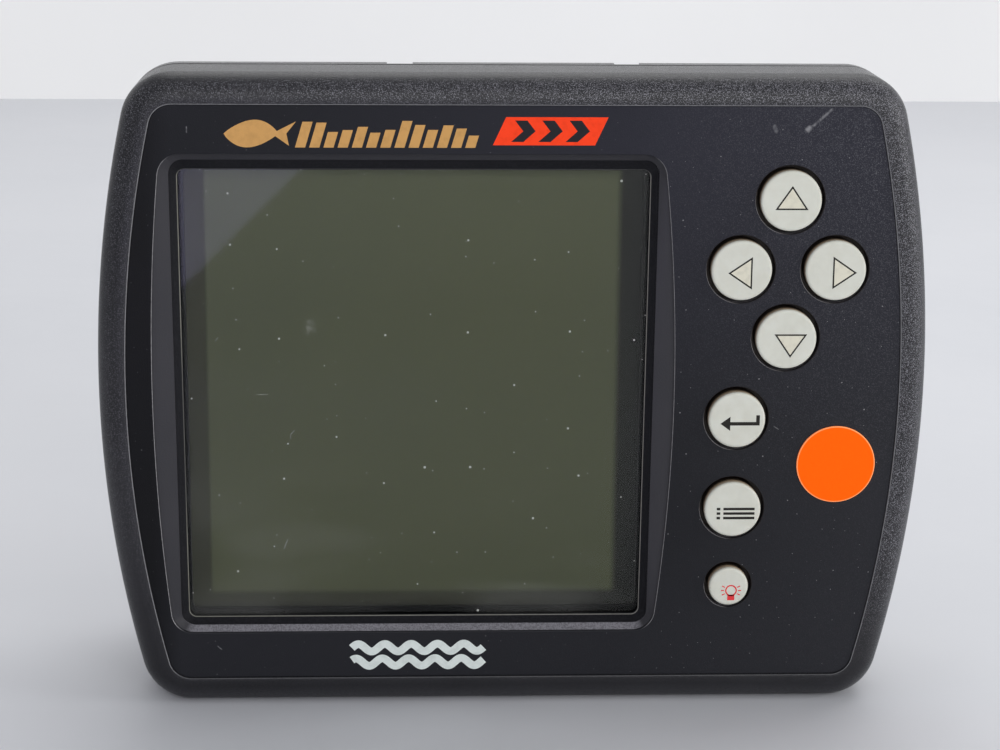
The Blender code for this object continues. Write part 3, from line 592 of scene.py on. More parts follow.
def rubber(name, colour, roughness=0.7, gloss=0.5):
    """Matt moulded rubber or dull plastic."""
    paint = Paint(name, colour, roughness, Specular_IOR_Level=gloss)
    fine = paint.noise(2200.0, 3.0)
    light = tuple(value * 1.5 + 0.004 for value in colour)
    paint.colour(paint.mix(paint.remap(fine, 0.4, 0.75), colour, light))
    paint.rough(paint.spread(fine, roughness - 0.08, roughness + 0.08))
    paint.bump(fine, 0.00001)
    return paint.material


def circuit_board():
    """Green solder mask with copper tracks under it and tinned pads."""
    paint = Paint("solder_mask", (0.01, 0.10, 0.04), 0.35)
    bricks = paint.add("ShaderNodeTexBrick", Scale=160.0, Vector=paint.add(
        "ShaderNodeMapping", Vector=paint.place, Rotation=(math.pi / 2, 0.0, 0.0)).outputs[0])
    bricks.inputs["Mortar Size"].default_value = 0.06
    tracks = bricks.outputs["Fac"]
    green = paint.mix(tracks, (0.008, 0.085, 0.035), (0.015, 0.16, 0.06))
    pads = paint.specks(0.0021, 0.0005, 0.45)
    paint.colour(paint.mix(pads, green, (0.55, 0.54, 0.50)))
    paint.uneven(500.0, 0.28, 0.42)
    paint.bump(tracks, 0.00002)
    return paint.material


def winding():
    """Enamelled copper wire wound round its core."""
    paint = Paint("copper_winding", (0.62, 0.27, 0.12), 0.35, Metallic=1.0)
    wave = paint.add("ShaderNodeTexWave", Vector=paint.place, Scale=420.0, Distortion=0.6)
    wave.bands_direction = "Y"
    ridge = wave.outputs["Fac"]
    paint.colour(paint.mix(ridge, (0.30, 0.11, 0.05), (0.68, 0.31, 0.15)))
    paint.uneven(900.0, 0.28, 0.42)
    paint.bump(ridge, 0.00008)
    return paint.material


def paper_floor():
    """A pale sheet with faint creases and clouds."""
    paint = Paint("pale_floor", (0.65, 0.66, 0.69), 0.6)
    cloud = paint.noise(5.0, 4.0)
    paint.colour(paint.mix(paint.spread(cloud), (0.635, 0.645, 0.675),
                           (0.685, 0.69, 0.715)))
    paint.rough(paint.spread(cloud, 0.5, 0.65))
    paint.bump(paint.noise(14.0, 3.0), 0.0012)
    return paint.material


def lit_paper():
    """The backdrop, lit evenly from behind."""
    paint = Paint("lit_paper", (0.5, 0.5, 0.5), 0.9, Emission_Strength=0.40)
    cloud = paint.noise(3.0, 3.0)
    paint.colour(paint.mix(paint.spread(cloud), (0.46, 0.46, 0.47), (0.52, 0.52, 0.53)))
    paint.shader.inputs["Emission Color"].default_value = (1.0, 1.0, 1.0, 1.0)
    return paint.material


def all_paints():
    """Every finish, by name."""
    return {
        "case": grained("charcoal_grain", (0.0125, 0.0125, 0.0145), (0.0165, 0.0165, 0.019), 0.28,
                        0.00017, 0.00006, 1.0, (0.215, 0.211, 0.232), 0.26),
        "recess": grained("recess_satin", (0.026, 0.0255, 0.030), (0.031, 0.030, 0.035), 0.42,
                          0.00030, 0.00002, gloss=0.35, dust=0.9),
        "case_edge": border_edge(),
        "rear": grained("rear_grain", (0.020, 0.020, 0.022), (0.026, 0.026, 0.028), 0.30,
                        0.00045, 0.00001, 0.2, (0.08, 0.08, 0.085)),
        "film": film(),
        "film_edge": film_edge(),
        "seal": rubber("black_rubber", (0.009, 0.009, 0.011), 0.6, 0.1),
        "seal_edge": seal_edge(),
        "lens": lens(),
        "display": display(),
        "lcd_frame": metal("black_oxide", (0.012, 0.012, 0.013), 0.45),
        "key": silicone(),
        "carbon": rubber("carbon_pill", (0.014, 0.014, 0.014), 0.8),
        "dark_ink": ink("dark_ink", (0.018, 0.016, 0.013)),
        "fill_ink": ink("pale_key_ink", (0.73, 0.70, 0.57), 0.5),
        "red_ink": ink("red_ink", (0.80, 0.045, 0.05)),
        "gold": ink("gold_ink", (0.62, 0.335, 0.102), 0.38),
        "badge": ink("badge_red", (0.95, 0.048, 0.004), 0.5, glow=0.08),
        "pale": ink("pale_ink", (0.72, 0.78, 0.74), 0.4),
        "night_ink": ink("night_ink", (0.010, 0.010, 0.014), 0.4),
        "orange": sticker(),
        "steel": metal("zinc_steel", (0.56, 0.57, 0.58), 0.32),
        "gold_pin": metal("gold_pin", (0.85, 0.62, 0.25), 0.22),
        "brass": metal("brass", (0.70, 0.50, 0.22), 0.30),
        "plate": metal("grey_plate", (0.42, 0.43, 0.44), 0.38, (1.0, 1.0, 0.04)),
        "board": circuit_board(),
        "chip": rubber("chip_epoxy", (0.018, 0.018, 0.020), 0.5),
        "white": rubber("diffuser_white", (0.75, 0.75, 0.73), 0.45),
        "copper": winding(),
        "sleeve": rubber("blue_sleeve", (0.03, 0.06, 0.22), 0.35),
        "ribbon": rubber("amber_film", (0.50, 0.25, 0.05), 0.35),
    }


# ---------------------------------------------------------------- outlines

def between(start, end, steps):
    """Evenly spaced values from start to end."""
    return [start + (end - start) * step / steps for step in range(steps + 1)]


def round_points(x, z, radius, turns):
    """Points round a centre at some angles in radians."""
    return [(x + radius * math.cos(turn), z + radius * math.sin(turn)) for turn in turns]


def right_side(peak, radius, height, bottom, top, corner, side_steps, corner_steps):
    """Points from the bottom edge, round a corner, up a bowed side and round to the top edge."""
    centre_x = peak - radius
    ends = []
    for edge, sign in ((bottom, -1.0), (top, 1.0)):
        corner_z = edge - sign * corner
        reach = radius - corner
        corner_x = centre_x + math.sqrt(reach ** 2 - (corner_z - height) ** 2)
        ends.append((corner_x, corner_z, math.atan2(corner_z - height, corner_x - centre_x)))
    (low_x, low_z, low), (high_x, high_z, high) = ends
    half = side_steps // 2
    side = [(high if step > 0 else -low) * step / half for step in range(1 - half, half)]
    return (round_points(low_x, low_z, corner, between(-math.pi / 2, low, corner_steps))
            + round_points(centre_x, height, radius, side)
            + round_points(high_x, high_z, corner, between(high, math.pi / 2, corner_steps)))


def outline(left, right, bottom, top, corner, side_steps=40, corner_steps=14):
    """A closed outline of (x, z) points; left and right are (peak x, arc radius, peak height)."""
    steps = (bottom, top, corner, side_steps, corner_steps)
    right_points = right_side(*right, *steps)
    left_points = right_side(-left[0], left[1], left[2], *steps)
    return right_points + [(-x, z) for x, z in reversed(left_points)]


def case_outline(inset, top=None, bottom=None):
    """The case outline moved inwards; the top and bottom edges can move by their own amounts."""
    half = (CASE_WIDTH / 2 - inset, SIDE_RADIUS - inset, SIDE_PEAK_Z)
    top = inset if top is None else top
    bottom = inset if bottom is None else bottom
    corner = max(CORNER_RADIUS - inset, 0.0015)
    return outline((-half[0], *half[1:]), half, bottom, CASE_HEIGHT - top, corner)


def recess_outline(margin=0.0):
    """The edge of the window recess, moved outwards."""
    left = (RECESS_LEFT[0] - margin, RECESS_LEFT[1] + margin, RECESS_LEFT[2])
    right = (RECESS_RIGHT[0] + margin, RECESS_RIGHT[1] + margin, RECESS_RIGHT[2])
    return outline(left, right, *grown(RECESS_Z, margin), RECESS_CORNER + margin)


def box_outline(x_range, z_range, corner, side_steps=40, corner_steps=14):
    """A rectangle with rounded corners."""
    left = (x_range[0], STRAIGHT, sum(z_range) / 2)
    right = (x_range[1], STRAIGHT, sum(z_range) / 2)
    return outline(left, right, *z_range, corner, side_steps, corner_steps)


def window_outline(x_range, z_range, corner):
    """A window edge: a rounded rectangle that is slightly wider at the top."""
    middle_x, middle_z = sum(x_range) / 2, sum(z_range) / 2
    spread = 2 * WINDOW_SPLAY / (x_range[1] - x_range[0])
    return [(x + (x - middle_x) * (z - middle_z) * spread, z)
            for x, z in box_outline(x_range, z_range, corner)]


def grown(values, margin):
    """A (low, high) range moved outwards at both ends."""
    return (values[0] - margin, values[1] + margin)


def circle(radius, sides=ROUND, x=0.0, z=0.0, start=0.0):
    """A closed round outline; it starts some steps round from the x axis."""
    turns = [2 * math.pi * (step + start) / sides for step in range(sides)]
    return round_points(x, z, radius, turns)


def rectangle(x0, z0, x1, z1):
    """The corners of a rectangle."""
    return [(x0, z0), (x1, z0), (x1, z1), (x0, z1)]


def bar_across(x, z, half_length, half_width, turn):
    """A rectangle centred on a point and turned."""
    return [(x + a * math.cos(turn) - b * math.sin(turn),
             z + a * math.sin(turn) + b * math.cos(turn))
            for a, b in rectangle(-half_length, -half_width, half_length, half_width)]


def arc(start, end, steps):
    """Evenly spaced angles in radians from start to end, in degrees."""
    return [math.radians(angle) for angle in between(start, end, steps)]


def quarter(radius, steps):
    """Points round a quarter turn of an edge: how far back and how far in each one lies."""
    return [(radius * (1 - math.cos(turn)), radius * (1 - math.sin(turn)))
            for turn in arc(0, 90, steps)]


# ---------------------------------------------------------------- meshes

def linked(name, data):
    """An object in the scene, made from its data."""
    obj = bpy.data.objects.new(name, data)
    bpy.context.scene.collection.objects.link(obj)
    return obj


def close_mesh(name, bm, paints, sharp=SHARP):
    """A bmesh closed into an object with smooth faces and sharp edges."""
    bmesh.ops.recalc_face_normals(bm, faces=bm.faces)
    mesh = bpy.data.meshes.new(name)
    bm.to_mesh(mesh)
    bm.free()
    for paint in paints:
        mesh.materials.append(paint)
    mesh.shade_smooth()
    mesh.set_sharp_from_angle(angle=math.radians(sharp))
    return linked(name, mesh)


def skin(bm, rows, ring=False, edge_bands=()):
    """Faces between rows of points; the ends are capped, or joined for a ring."""
    rows = [[bm.verts.new(point) for point in row] for row in rows]
    pairs = list(zip(rows, rows[1:]))
    if ring:
        pairs.append((rows[-1], rows[0]))
    for band, (near, far) in enumerate(pairs):
        for i in range(len(near)):
            j = (i + 1) % len(near)
            face = bm.faces.new((near[i], near[j], far[j], far[i]))
            face.material_index = 1 if band in edge_bands else 0
    if not ring:
        bm.faces.new(rows[0])
        bm.faces.new(rows[-1])


def at_depth(depth, points):
    """An outline of (x, z) points put at a depth."""
    return [(x, FACE_Y + depth, z) for x, z in points]


def at_x(x, points):
    """An outline of (depth, z) points put at an x."""
    return [(x, FACE_Y + depth, z) for depth, z in points]


def loft(name, sections, paints, ring=False, edge_bands=()):
    """A solid skinned over (depth, outline) sections; some bands can take the second paint."""
    bm = bmesh.new()
    skin(bm, [at_depth(*section) for section in sections], ring, edge_bands)
    return close_mesh(name, bm, paints)


def turned(name, profile, paints, place, ring=False, edge_bands=(), sides=ROUND):
    """A round piece along the depth axis from (depth, radius) pairs."""
    sections = [(depth, circle(radius, sides, *place)) for depth, radius in profile]
    return loft(name, sections, paints, ring, edge_bands)


def along_x(name, stations, paints):
    """A solid skinned over (x, outline) stations; outlines are (depth, z) points."""
    bm = bmesh.new()
    skin(bm, [at_x(*station) for station in stations])
    return close_mesh(name, bm, paints)


def rods(bm, places, profile, sides=ROUND):
    """Add a round bar along the depth axis at each place, from (depth, radius) pairs."""
    for place in places:
        skin(bm, [at_depth(depth, circle(radius, sides, *place)) for depth, radius in profile])


def in_one_paint(obj, number):
    """Give every face of a piece the same one of its paints."""
    for polygon in obj.data.polygons:
        polygon.material_index = number
    return obj


def combine(target, tool, operation="DIFFERENCE"):
    """Queue a boolean; settle() applies it."""
    step = target.modifiers.new(tool.name, "BOOLEAN")
    step.operation = operation
    step.solver = "EXACT"
    step.object = tool


def settle(obj):
    """Apply an object's booleans, remove their tools and shade the result."""
    tools = [step.object for step in obj.modifiers]
    graph = bpy.context.evaluated_depsgraph_get()
    mesh = bpy.data.meshes.new_from_object(obj.evaluated_get(graph), depsgraph=graph)
    obj.modifiers.clear()
    obj.data = mesh
    for tool in tools:
        bpy.data.objects.remove(tool)
    mesh.shade_smooth()
    mesh.set_sharp_from_angle(angle=math.radians(SHARP))
    return obj


def without_slivers(obj):
    """Merge the points that lie closer together than a sliver."""
    bm = bmesh.new()
    bm.from_mesh(obj.data)
    bmesh.ops.remove_doubles(bm, verts=bm.verts, dist=SLIVER)
    bm.to_mesh(obj.data)
    bm.free()
    return obj


def store(obj, value):
    """Keep a value from 0 to 1 on each point of a mesh as its point mask."""
    kept = obj.data.attributes.new("point_mask", "FLOAT", "POINT")
    for item, vertex in zip(kept.data, obj.data.vertices):
        item.value = min(max(value(vertex.co), 0.0), 1.0)


def on_body(obj, body, *nodes, slot=None):
    """Let a piece ride on a CAD body in place of its CAD nodes."""
    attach(obj, body)
    if nodes:
        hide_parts(*nodes)


# ---------------------------------------------------------------- printed marks

def prism(bm, front, back, loop, hole=None):
    """A thin solid between two depths: a polygon, or the band between two matching loops."""
    layers = []
    for depth in (front, back):
        layers.append([[bm.verts.new(point) for point in at_depth(depth, points)]
                       for points in ((loop, hole) if hole else (loop,))])
    count = len(loop)
    for layer in layers:
        if hole:
            for i in range(count):
                j = (i + 1) % count
                bm.faces.new((layer[0][i], layer[0][j], layer[1][j], layer[1][i]))
        else:
            bm.faces.new(layer[0])
    for near, far in zip(*layers):
        for i in range(count):
            j = (i + 1) % count
            bm.faces.new((near[i], near[j], far[j], far[i]))


def marks(name, shapes, paint, body, front):
    """Ink on a surface; each shape is a polygon or a (polygon, hole) pair."""
    bm = bmesh.new()
    for shape in shapes:
        loop, hole = shape if isinstance(shape, tuple) else (shape, None)
        prism(bm, front - INK, front + INK, loop, hole)
    on_body(close_mesh(name, bm, [paint]), body)


def inset_triangle(corners, width):
    """A triangle moved inwards by a width: it shrinks towards the centre of its inner circle."""
    (x0, z0), (x1, z1), (x2, z2) = corners
    sides = [math.dist(corners[i - 2], corners[i - 1]) for i in range(3)]
    girth = sum(sides)
    doubled_area = abs((x1 - x0) * (z2 - z0) - (x2 - x0) * (z1 - z0))
    kept = 1.0 - width * girth / doubled_area
    x = sum(side * corner[0] for side, corner in zip(sides, corners)) / girth
    z = sum(side * corner[1] for side, corner in zip(sides, corners)) / girth
    return [(x + (a - x) * kept, z + (b - z) * kept) for a, b in corners]


def ribbon(centre, width):
    """A polygon of constant width round an open line of points."""
    upper, lower = [], []
    for i, (x, z) in enumerate(centre):
        x0, z0 = centre[max(i - 1, 0)]
        x1, z1 = centre[min(i + 1, len(centre) - 1)]
        length = math.hypot(x1 - x0, z1 - z0)
        nx, nz = -(z1 - z0) / length * width / 2, (x1 - x0) / length * width / 2
        upper.append((x + nx, z + nz))
        lower.append((x - nx, z - nz))
    return upper + lower[::-1]


def moved(points, x, z):
    """Points shifted on the face."""
    return [(x + a, z + b) for a, b in points]


def leaning(points, slant):
    """Points leaning right with height."""
    return [(x + slant * z, z) for x, z in points]


def fish(length, height):
    """A plain fish outline facing left: a lens-shaped body and a forked tail."""
    steps = 18
    body = 0.76
    upper = []
    for step in range(steps + 1):
        along = body * step / steps
        upper.append((along * length, height / 2 * math.sin(math.pi * along / (body + 0.03)) ** 0.8))
    tail = [(length, height * 0.44), (length * 0.91, 0.0), (length, -height * 0.44)]
    return upper + tail + [(x, -z) for x, z in reversed(upper[1:])]


def face_marks(paint):
    """The title strip, the slanted badge and the maker's place, all with generic shapes."""
    lean = 0.30
    base, top = 0.1108, 0.1160
    height = top - base
    strip = [moved(leaning(moved(fish(0.0128, 0.0052), 0.0, height / 2), lean), -0.0556, base)]
    count = 13
    wide = 0.0019
    for step in range(count):
        x = -0.0416 + 0.00265 * step
        rise = height * (0.72 + 0.16 * math.sin(1.9 * step + 0.6) + 0.12 * math.cos(0.8 * step))
        strip.append(moved(leaning(rectangle(0.0, 0.0, wide, rise), lean), x, base))
    marks("title_strip", strip, paint["gold"], "case", 0.0)

    lean = 0.46
    low, high, width = 0.1113, 0.1166, 0.0192
    height = high - low
    badge = moved(leaning(rectangle(0.0, 0.0, width, height), lean), -0.0046, low)
    marks("slanted_badge", [badge], paint["badge"], "case", 0.0)
    chevrons = []
    arm, thick, tall = 0.0019, 0.0023, height * 0.76
    for step in range(3):
        shape = [(0.0, 0.0), (thick, 0.0), (thick + arm, tall / 2), (thick, tall), (0.0, tall),
                 (arm, tall / 2)]
        x = 0.0023 + 0.0051 * step
        chevrons.append(moved(leaning(moved(shape, x, height * 0.12), 0.18), -0.0036, low))
    marks("badge_chevrons", chevrons, paint["night_ink"], "case", -INK)

    waves = []
    for z, shift in ((0.01165, 0.0), (0.00865, 0.6)):
        line = []
        for step in range(97):
            x = -0.0316 + 0.0259 * step / 96
            line.append((x, z + 0.00078 * math.sin(2 * math.pi * (5 * step / 96) + shift)))
        waves.append(ribbon(line, 0.0016))
    marks("wave_mark", waves, paint["pale"], "case", 0.0)


def key_marks(paint):
    """Triangles on four keys, a bent arrow and a list on two, and a lamp on the small one."""
    front = INK - KEY_PROUD
    line = 0.00030
    wide, tall = 0.0063, 0.0046
    up = [(-wide / 2, -tall / 2), (wide / 2, -tall / 2), (0.0, tall / 2)]
    turns = {"key_up": lambda x, z: (x, z), "key_down": lambda x, z: (x, -z),
             "key_left": lambda x, z: (-z, x), "key_right": lambda x, z: (z, x)}
    places = {name: (x + LEGENDS[name][0], z + LEGENDS[name][1]) for name, x, z, _ in KEYS}
    for name, turn in turns.items():
        shape = moved([turn(x, z) for x, z in up], *places[name])
        inner = inset_triangle(shape, line)
        marks(f"{name}_outline", [(shape, inner)], paint["dark_ink"], name, front)
        marks(f"{name}_fill", [inner], paint["fill_ink"], name, front)

    x, z = places["key_select"]
    arrow = [(-0.0038, 0.0), (-0.0019, 0.0014), (-0.0019, 0.00034), (0.0031, 0.00034),
             (0.0031, 0.0017), (0.0038, 0.0017), (0.0038, -0.00034), (-0.0019, -0.00034),
             (-0.0019, -0.0014)]
    marks("key_select_arrow", [moved(arrow, x, z)], paint["dark_ink"], "key_select", front)

    x, z = places["key_menu"]
    bars = []
    half = 0.00025
    for row in (-1, 0, 1):
        height = 0.00092 * row
        for start, end in ((-0.0037, -0.0030), (-0.0024, 0.0037)):
            bars.append(moved(rectangle(start, height - half, end, height + half), x, z))
    marks("key_menu_list", bars, paint["dark_ink"], "key_menu", front)

    x, z = places["key_light"]
    steps = 36
    lamp = [(circle(0.00116, steps, x, z), circle(0.00090, steps, x, z))]
    lamp.append(moved(rectangle(-0.00070, -0.0020, 0.00070, -0.00085), x, z))
    for angle in (-28, 0, 28, 152, 180, 208):
        turn = math.radians(angle)
        ends = [(x + reach * math.cos(turn), z + reach * math.sin(turn))
                for reach in (0.00138, 0.0020)]
        lamp.append(ribbon(ends, 0.0002))
    marks("key_light_lamp", lamp, paint["red_ink"], "key_light", front)


# ---------------------------------------------------------------- front pieces

def key_holes(front, chamfer):
    """Cutters for the key holes, wider at the front by a chamfer."""
    tools = []
    for name, x, z, radius in KEYS:
        bore = radius + KEY_CLEARANCE
        profile = [(front - CUT, bore + chamfer), (front, bore + chamfer),
                   (front + chamfer, bore), (0.005, bore)]
        tools.append((f"hole_{name}", profile, (x, z)))
    return tools


def bezel(paint):
    """The moulded front frame with its rounded border, window recess and key holes."""
    finish = [paint["case"], paint["case_edge"], paint["recess"]]
    border = BORDER + GAP
    sections = [(POCKET_DEPTH, case_outline(border)), (LIP - RIM_PROUD, case_outline(border)),
                (0.3 * LIP - RIM_PROUD, case_outline(border - 0.3 * LIP)),
                (-RIM_PROUD, case_outline(border - LIP))]
    for back, inset in quarter(EDGE_ROUND, EDGE_STEPS):
        sections.append((back - RIM_PROUD, case_outline(inset)))
    seam_round = 0.0006
    sections += [
        (SEAM_DEPTH - seam_round, case_outline(0.0)),
        (SEAM_DEPTH, case_outline(seam_round)),
        (SEAM_DEPTH, case_outline(RAIL_INSET)),
        (RAIL_FRONT, case_outline(RAIL_INSET)),
        (RAIL_FRONT, case_outline(WALL)),
        (WALL_BACK + 0.002, case_outline(WALL)),
        (WALL_BACK, case_outline(WALL + 0.003)),
    ]
    shell = loft("bezel", sections, finish, edge_bands=(1, 2))
    opening = window_outline(OPENING_X, OPENING_Z, OPENING_CORNER)
    window = [(-0.002, recess_outline()), (POCKET_DEPTH, recess_outline()),
              (RECESS_DEPTH, opening), (WALL_BACK + 0.001, opening)]
    combine(shell, in_one_paint(loft("tool_window", window, finish), 2))
    for name, profile, place in key_holes(POCKET_DEPTH, 0.0001):
        combine(shell, in_one_paint(turned(name, profile, finish, place), 2))
    screws = bmesh.new()
    hole = [(CASE_SCREW_TIP - 0.0005, CASE_SCREW_HOLE), (SEAM_DEPTH + CUT, CASE_SCREW_HOLE)]
    rods(screws, CASE_SCREW_PLACES, hole, 24)
    combine(shell, close_mesh("tool_screws", screws, finish))
    on_body(settle(shell), "case", "front_bezel", slot="case")


def face_film(paint):
    """The printed film, with painted highlights on its cut edges at the window and the keys."""
    finish = [paint["film"], paint["film_edge"]]
    edge, ease = BORDER + GAP + 0.00004, 0.00006
    sections = [(FILM_BACK, case_outline(edge)), (ease, case_outline(edge)),
                (0.0, case_outline(edge + ease))]
    sheet = loft("face_film", sections, finish)
    cut = FILM_CHAMFER
    window = [(-CUT, recess_outline(cut)), (0.0, recess_outline(cut)),
              (cut, recess_outline()), (2 * CUT, recess_outline())]
    combine(sheet, loft("tool_film_window", window, finish, edge_bands=(1,)))
    for name, profile, place in key_holes(0.0, cut):
        combine(sheet, turned("film_" + name, profile, finish, place, edge_bands=(1,)))
    on_body(without_slivers(settle(sheet)), "case", "face_overlay", slot="face")


def window_seal(paint):
    """The dark frame that slopes down to the lens, with a painted highlight line round the glass."""
    finish = [paint["seal"], paint["seal_edge"]]
    back = LENS_FRONT - GAP
    line, slack, step = 0.00016, 0.00005, 0.0001

    def hole(margin):
        return window_outline(grown(OPENING_X, margin), grown(OPENING_Z, margin), OPENING_CORNER)

    def glass(margin):
        return window_outline(grown(GLASS_X, margin), grown(GLASS_Z, margin),
                              GLASS_CORNER + margin)

    opening, wide = hole(-slack), hole(SEAL_FLANGE)
    sections = [(RECESS_DEPTH + step, opening), (SEAL_LIP - step, glass(line)),
                (SEAL_LIP, glass(0.0)), (back, glass(0.0)), (back, wide),
                (WALL_BACK + GAP, wide), (WALL_BACK + GAP, opening)]
    on_body(loft("seal_frame", sections, finish, ring=True, edge_bands=(1,)),
            "case", "window_seal", slot="rubber")


def stock_dot(paint):
    """The round orange sticker with a pale rim."""
    radius, pale = DOT_RADIUS, DOT_RADIUS - 0.00020
    back, front, chamfer = -0.00005, -0.0004, 0.0001
    profile = [(back, radius), (front + chamfer, radius), (front, radius - chamfer),
               (front, pale + SLIVER), (front, pale - SLIVER), (front, radius - 0.0006)]
    dot = turned("stock_sticker", profile, [paint["orange"]], DOT_CENTRE, sides=120)

    def rim(point):
        reach = math.hypot(point.x - DOT_CENTRE[0], point.z - DOT_CENTRE[1])
        return (reach - pale) / (0.5 * SLIVER)

    store(dot, rim)
    on_body(dot, "case", "inventory_dot", slot="orange")


def keys(paint):
    """Seven silicone keys with rounded shoulders and sides that dirt and painted shade darken."""
    for name, x, z, radius in KEYS:
        front = INK - KEY_PROUD
        profile = [(front, radius - 1.5 * KEY_SHOULDER)]
        profile += [(front + back, radius - inset) for back, inset in quarter(KEY_SHOULDER, 10)]
        profile += [(depth, radius) for depth in (-0.0004, 0.0006, 0.0016, KEY_FLANGE[0])]
        profile += [(KEY_FLANGE[0], radius + KEY_FLANGE_EXTRA),
                    (KEY_FLANGE[1], radius + KEY_FLANGE_EXTRA)]
        cap = turned(name + "_cap", profile, [paint["key"]], (x, z), sides=96)
        # dirt and painted shade, growing with depth down the side of the key
        store(cap, lambda point: (point.y - FACE_Y + KEY_PROUD - DIRT_SHADE_START) / DIRT_SHADE_REACH)
        on_body(cap, name, name, slot="key")


# ---------------------------------------------------------------- rear pieces

def rear_body(depth, inset=0.0):
    """The tapered body behind the ledge, at a depth and moved inwards."""
    along = (depth - FLANGE_BACK) / (BODY_BACK - FLANGE_BACK)
    side, top, bottom = [LEDGE_INSET + (end - LEDGE_INSET) * along + inset for end in TAPER]
    return case_outline(side, top, bottom)


def foot(word, sign, finish):
    """A rib under the body that carries the back of the unit."""
    def rib(inset):
        return [(0.0195, inset), (0.0450, inset), (0.0478, 0.0008 + inset),
                (0.0487, 0.0022 + inset), (0.0490, 0.0035 + inset), (0.0490, 0.0110),
                (0.0195, 0.0090)]

    half, ease = FOOT_WIDTH / 2, 0.0008
    end = [(half, ease), (half - 0.3 * ease, 0.3 * ease), (half - ease, 0.0)]
    stations = [(sign * FOOT_X - x, rib(inset)) for x, inset in end]
    stations += [(sign * FOOT_X + x, rib(inset)) for x, inset in reversed(end)]
    return along_x(f"tool_foot_{word}", stations, finish)


def boss(word, sign, finish):
    """A knob boss with a ring of radial teeth on its face."""
    def rim(radius):
        return circle(radius, 96, BOSS_DEPTH, BOSS_Z, 0.5)

    bm = bmesh.new()
    face, ease, slope = BOSS_X[1], 0.0008, 0.0002
    rows = [at_x(sign * x, rim(radius)) for x, radius in (
        (BOSS_X[0], BOSS_RADIUS), (face - ease, BOSS_RADIUS),
        (face - 0.3 * ease, BOSS_RADIUS - 0.3 * ease), (face, BOSS_RADIUS - ease),
        (face, TOOTH_RING[1] + slope))]
    for radius in reversed(TOOTH_RING):
        rows.append([(sign * (face - (TOOTH_DEPTH if i % 4 < 2 else 0.0)), FACE_Y + depth, z)
                     for i, (depth, z) in enumerate(rim(radius))])
    rows.append(at_x(sign * face, rim(TOOTH_RING[0] - slope)))
    skin(bm, rows)
    return close_mesh(f"tool_boss_{word}", bm, finish)


def housing(paint):
    """The rear shell with its flange, tapered body, feet, bosses and holes."""
    finish = [paint["rear"]]
    side, top, bottom = TAPER
    fillet, edge = 0.0012, 0.0008
    sections = [(BACK_WALL - back, case_outline(side + inset, top + inset, bottom + inset))
                for back, inset in quarter(BACK_ROUND, 8)]
    for out, back in quarter(fillet, 5):
        sections.append((FLANGE_BACK + back, rear_body(FLANGE_BACK + back, -out)))
    sections += [(FLANGE_BACK - back, case_outline(inset)) for back, inset in quarter(edge, 5)]
    sections += [
        (FLANGE_FRONT + 0.0002, case_outline(0.0)),
        (FLANGE_FRONT, case_outline(0.0002)),
        (FLANGE_FRONT, case_outline(LEDGE_INSET + SHELL)),
        (FLANGE_BACK, case_outline(LEDGE_INSET + SHELL)),
        (BODY_BACK, rear_body(BODY_BACK, SHELL)),
    ]
    shell = loft("rear_shell", sections, finish)
    for word, sign in (("left", -1), ("right", 1)):
        combine(shell, foot(word, sign, finish), "UNION")
        combine(shell, boss(word, sign, finish), "UNION")
        bore = circle(INSERT_RADIUS + GAP, ROUND, BOSS_DEPTH, BOSS_Z)
        stations = [(sign * x, bore) for x in (INSERT_X[0] - GAP, BOSS_X[1] + CUT)]
        combine(shell, along_x(f"tool_bore_{word}", stations, finish))
        x_range = grown((sign * NOTCH_X, sign * NOTCH_X), NOTCH_WIDTH / 2)
        box = box_outline(x_range, (CASE_HEIGHT - NOTCH_DEPTH, CASE_HEIGHT + 0.002), 0.0004, 4, 6)
        notch = [(FLANGE_FRONT + NOTCH_SETBACK, box), (FLANGE_BACK + CUT, box)]
        combine(shell, loft(f"tool_notch_{word}", notch, finish))

    outer, inner = case_outline(SEAL_INSET[0] - GAP), case_outline(SEAL_INSET[1] + GAP)
    front, back = FLANGE_FRONT - CUT, SEAL_BACK + GAP
    groove = [(front, outer), (back, outer), (back, inner), (front, inner)]
    combine(shell, loft("tool_groove", groove, finish, ring=True))

    holes = bmesh.new()
    through = [(FLANGE_FRONT - CUT, CASE_SCREW_HOLE), (FLANGE_BACK + CUT, CASE_SCREW_HOLE)]
    rods(holes, CASE_SCREW_PLACES, through, 24)
    back_holes = [(x, SOCKET_Z, SOCKET_HOLE) for _, x, _ in SOCKETS] + [(*VENT_PLACE, VENT_HOLE)]
    for x, z, radius in back_holes:
        rods(holes, [(x, z)], [(BODY_BACK - CUT, radius), (BACK_WALL + CUT, radius)])
    combine(shell, close_mesh("tool_rear_holes", holes, finish))
    on_body(settle(shell), "case", "rear_housing", slot="case")


def case_screws(paint):
    """Pan-head screws with a cross recess."""
    under = FLANGE_BACK + GAP
    brim, high = 0.0006, 0.0018
    for number, (x, z) in enumerate(CASE_SCREW_PLACES, start=1):
        profile = [(CASE_SCREW_TIP, 0.0004), (CASE_SCREW_TIP + 0.0009, CASE_SCREW_SHANK),
                   (under, CASE_SCREW_SHANK), (under, CASE_SCREW_HEAD)]
        for turn in arc(0, 78, 8):
            profile.append((under + brim + (high - brim) * math.sin(turn),
                            CASE_SCREW_HEAD * math.cos(turn) ** 0.7))
        head = turned(f"screw_{number}", profile, [paint["steel"]], (x, z), sides=48)
        for turn in (0.0, math.pi / 2):
            shapes = [(depth, bar_across(x, z, half, 0.00026, turn)) for depth, half in (
                (under + brim, 0.0006), (under + high + CUT, 0.0021))]
            combine(head, loft("tool_cross", shapes, [paint["steel"]]))
        on_body(settle(head), "case", f"case_screw_{number}", slot="steel")


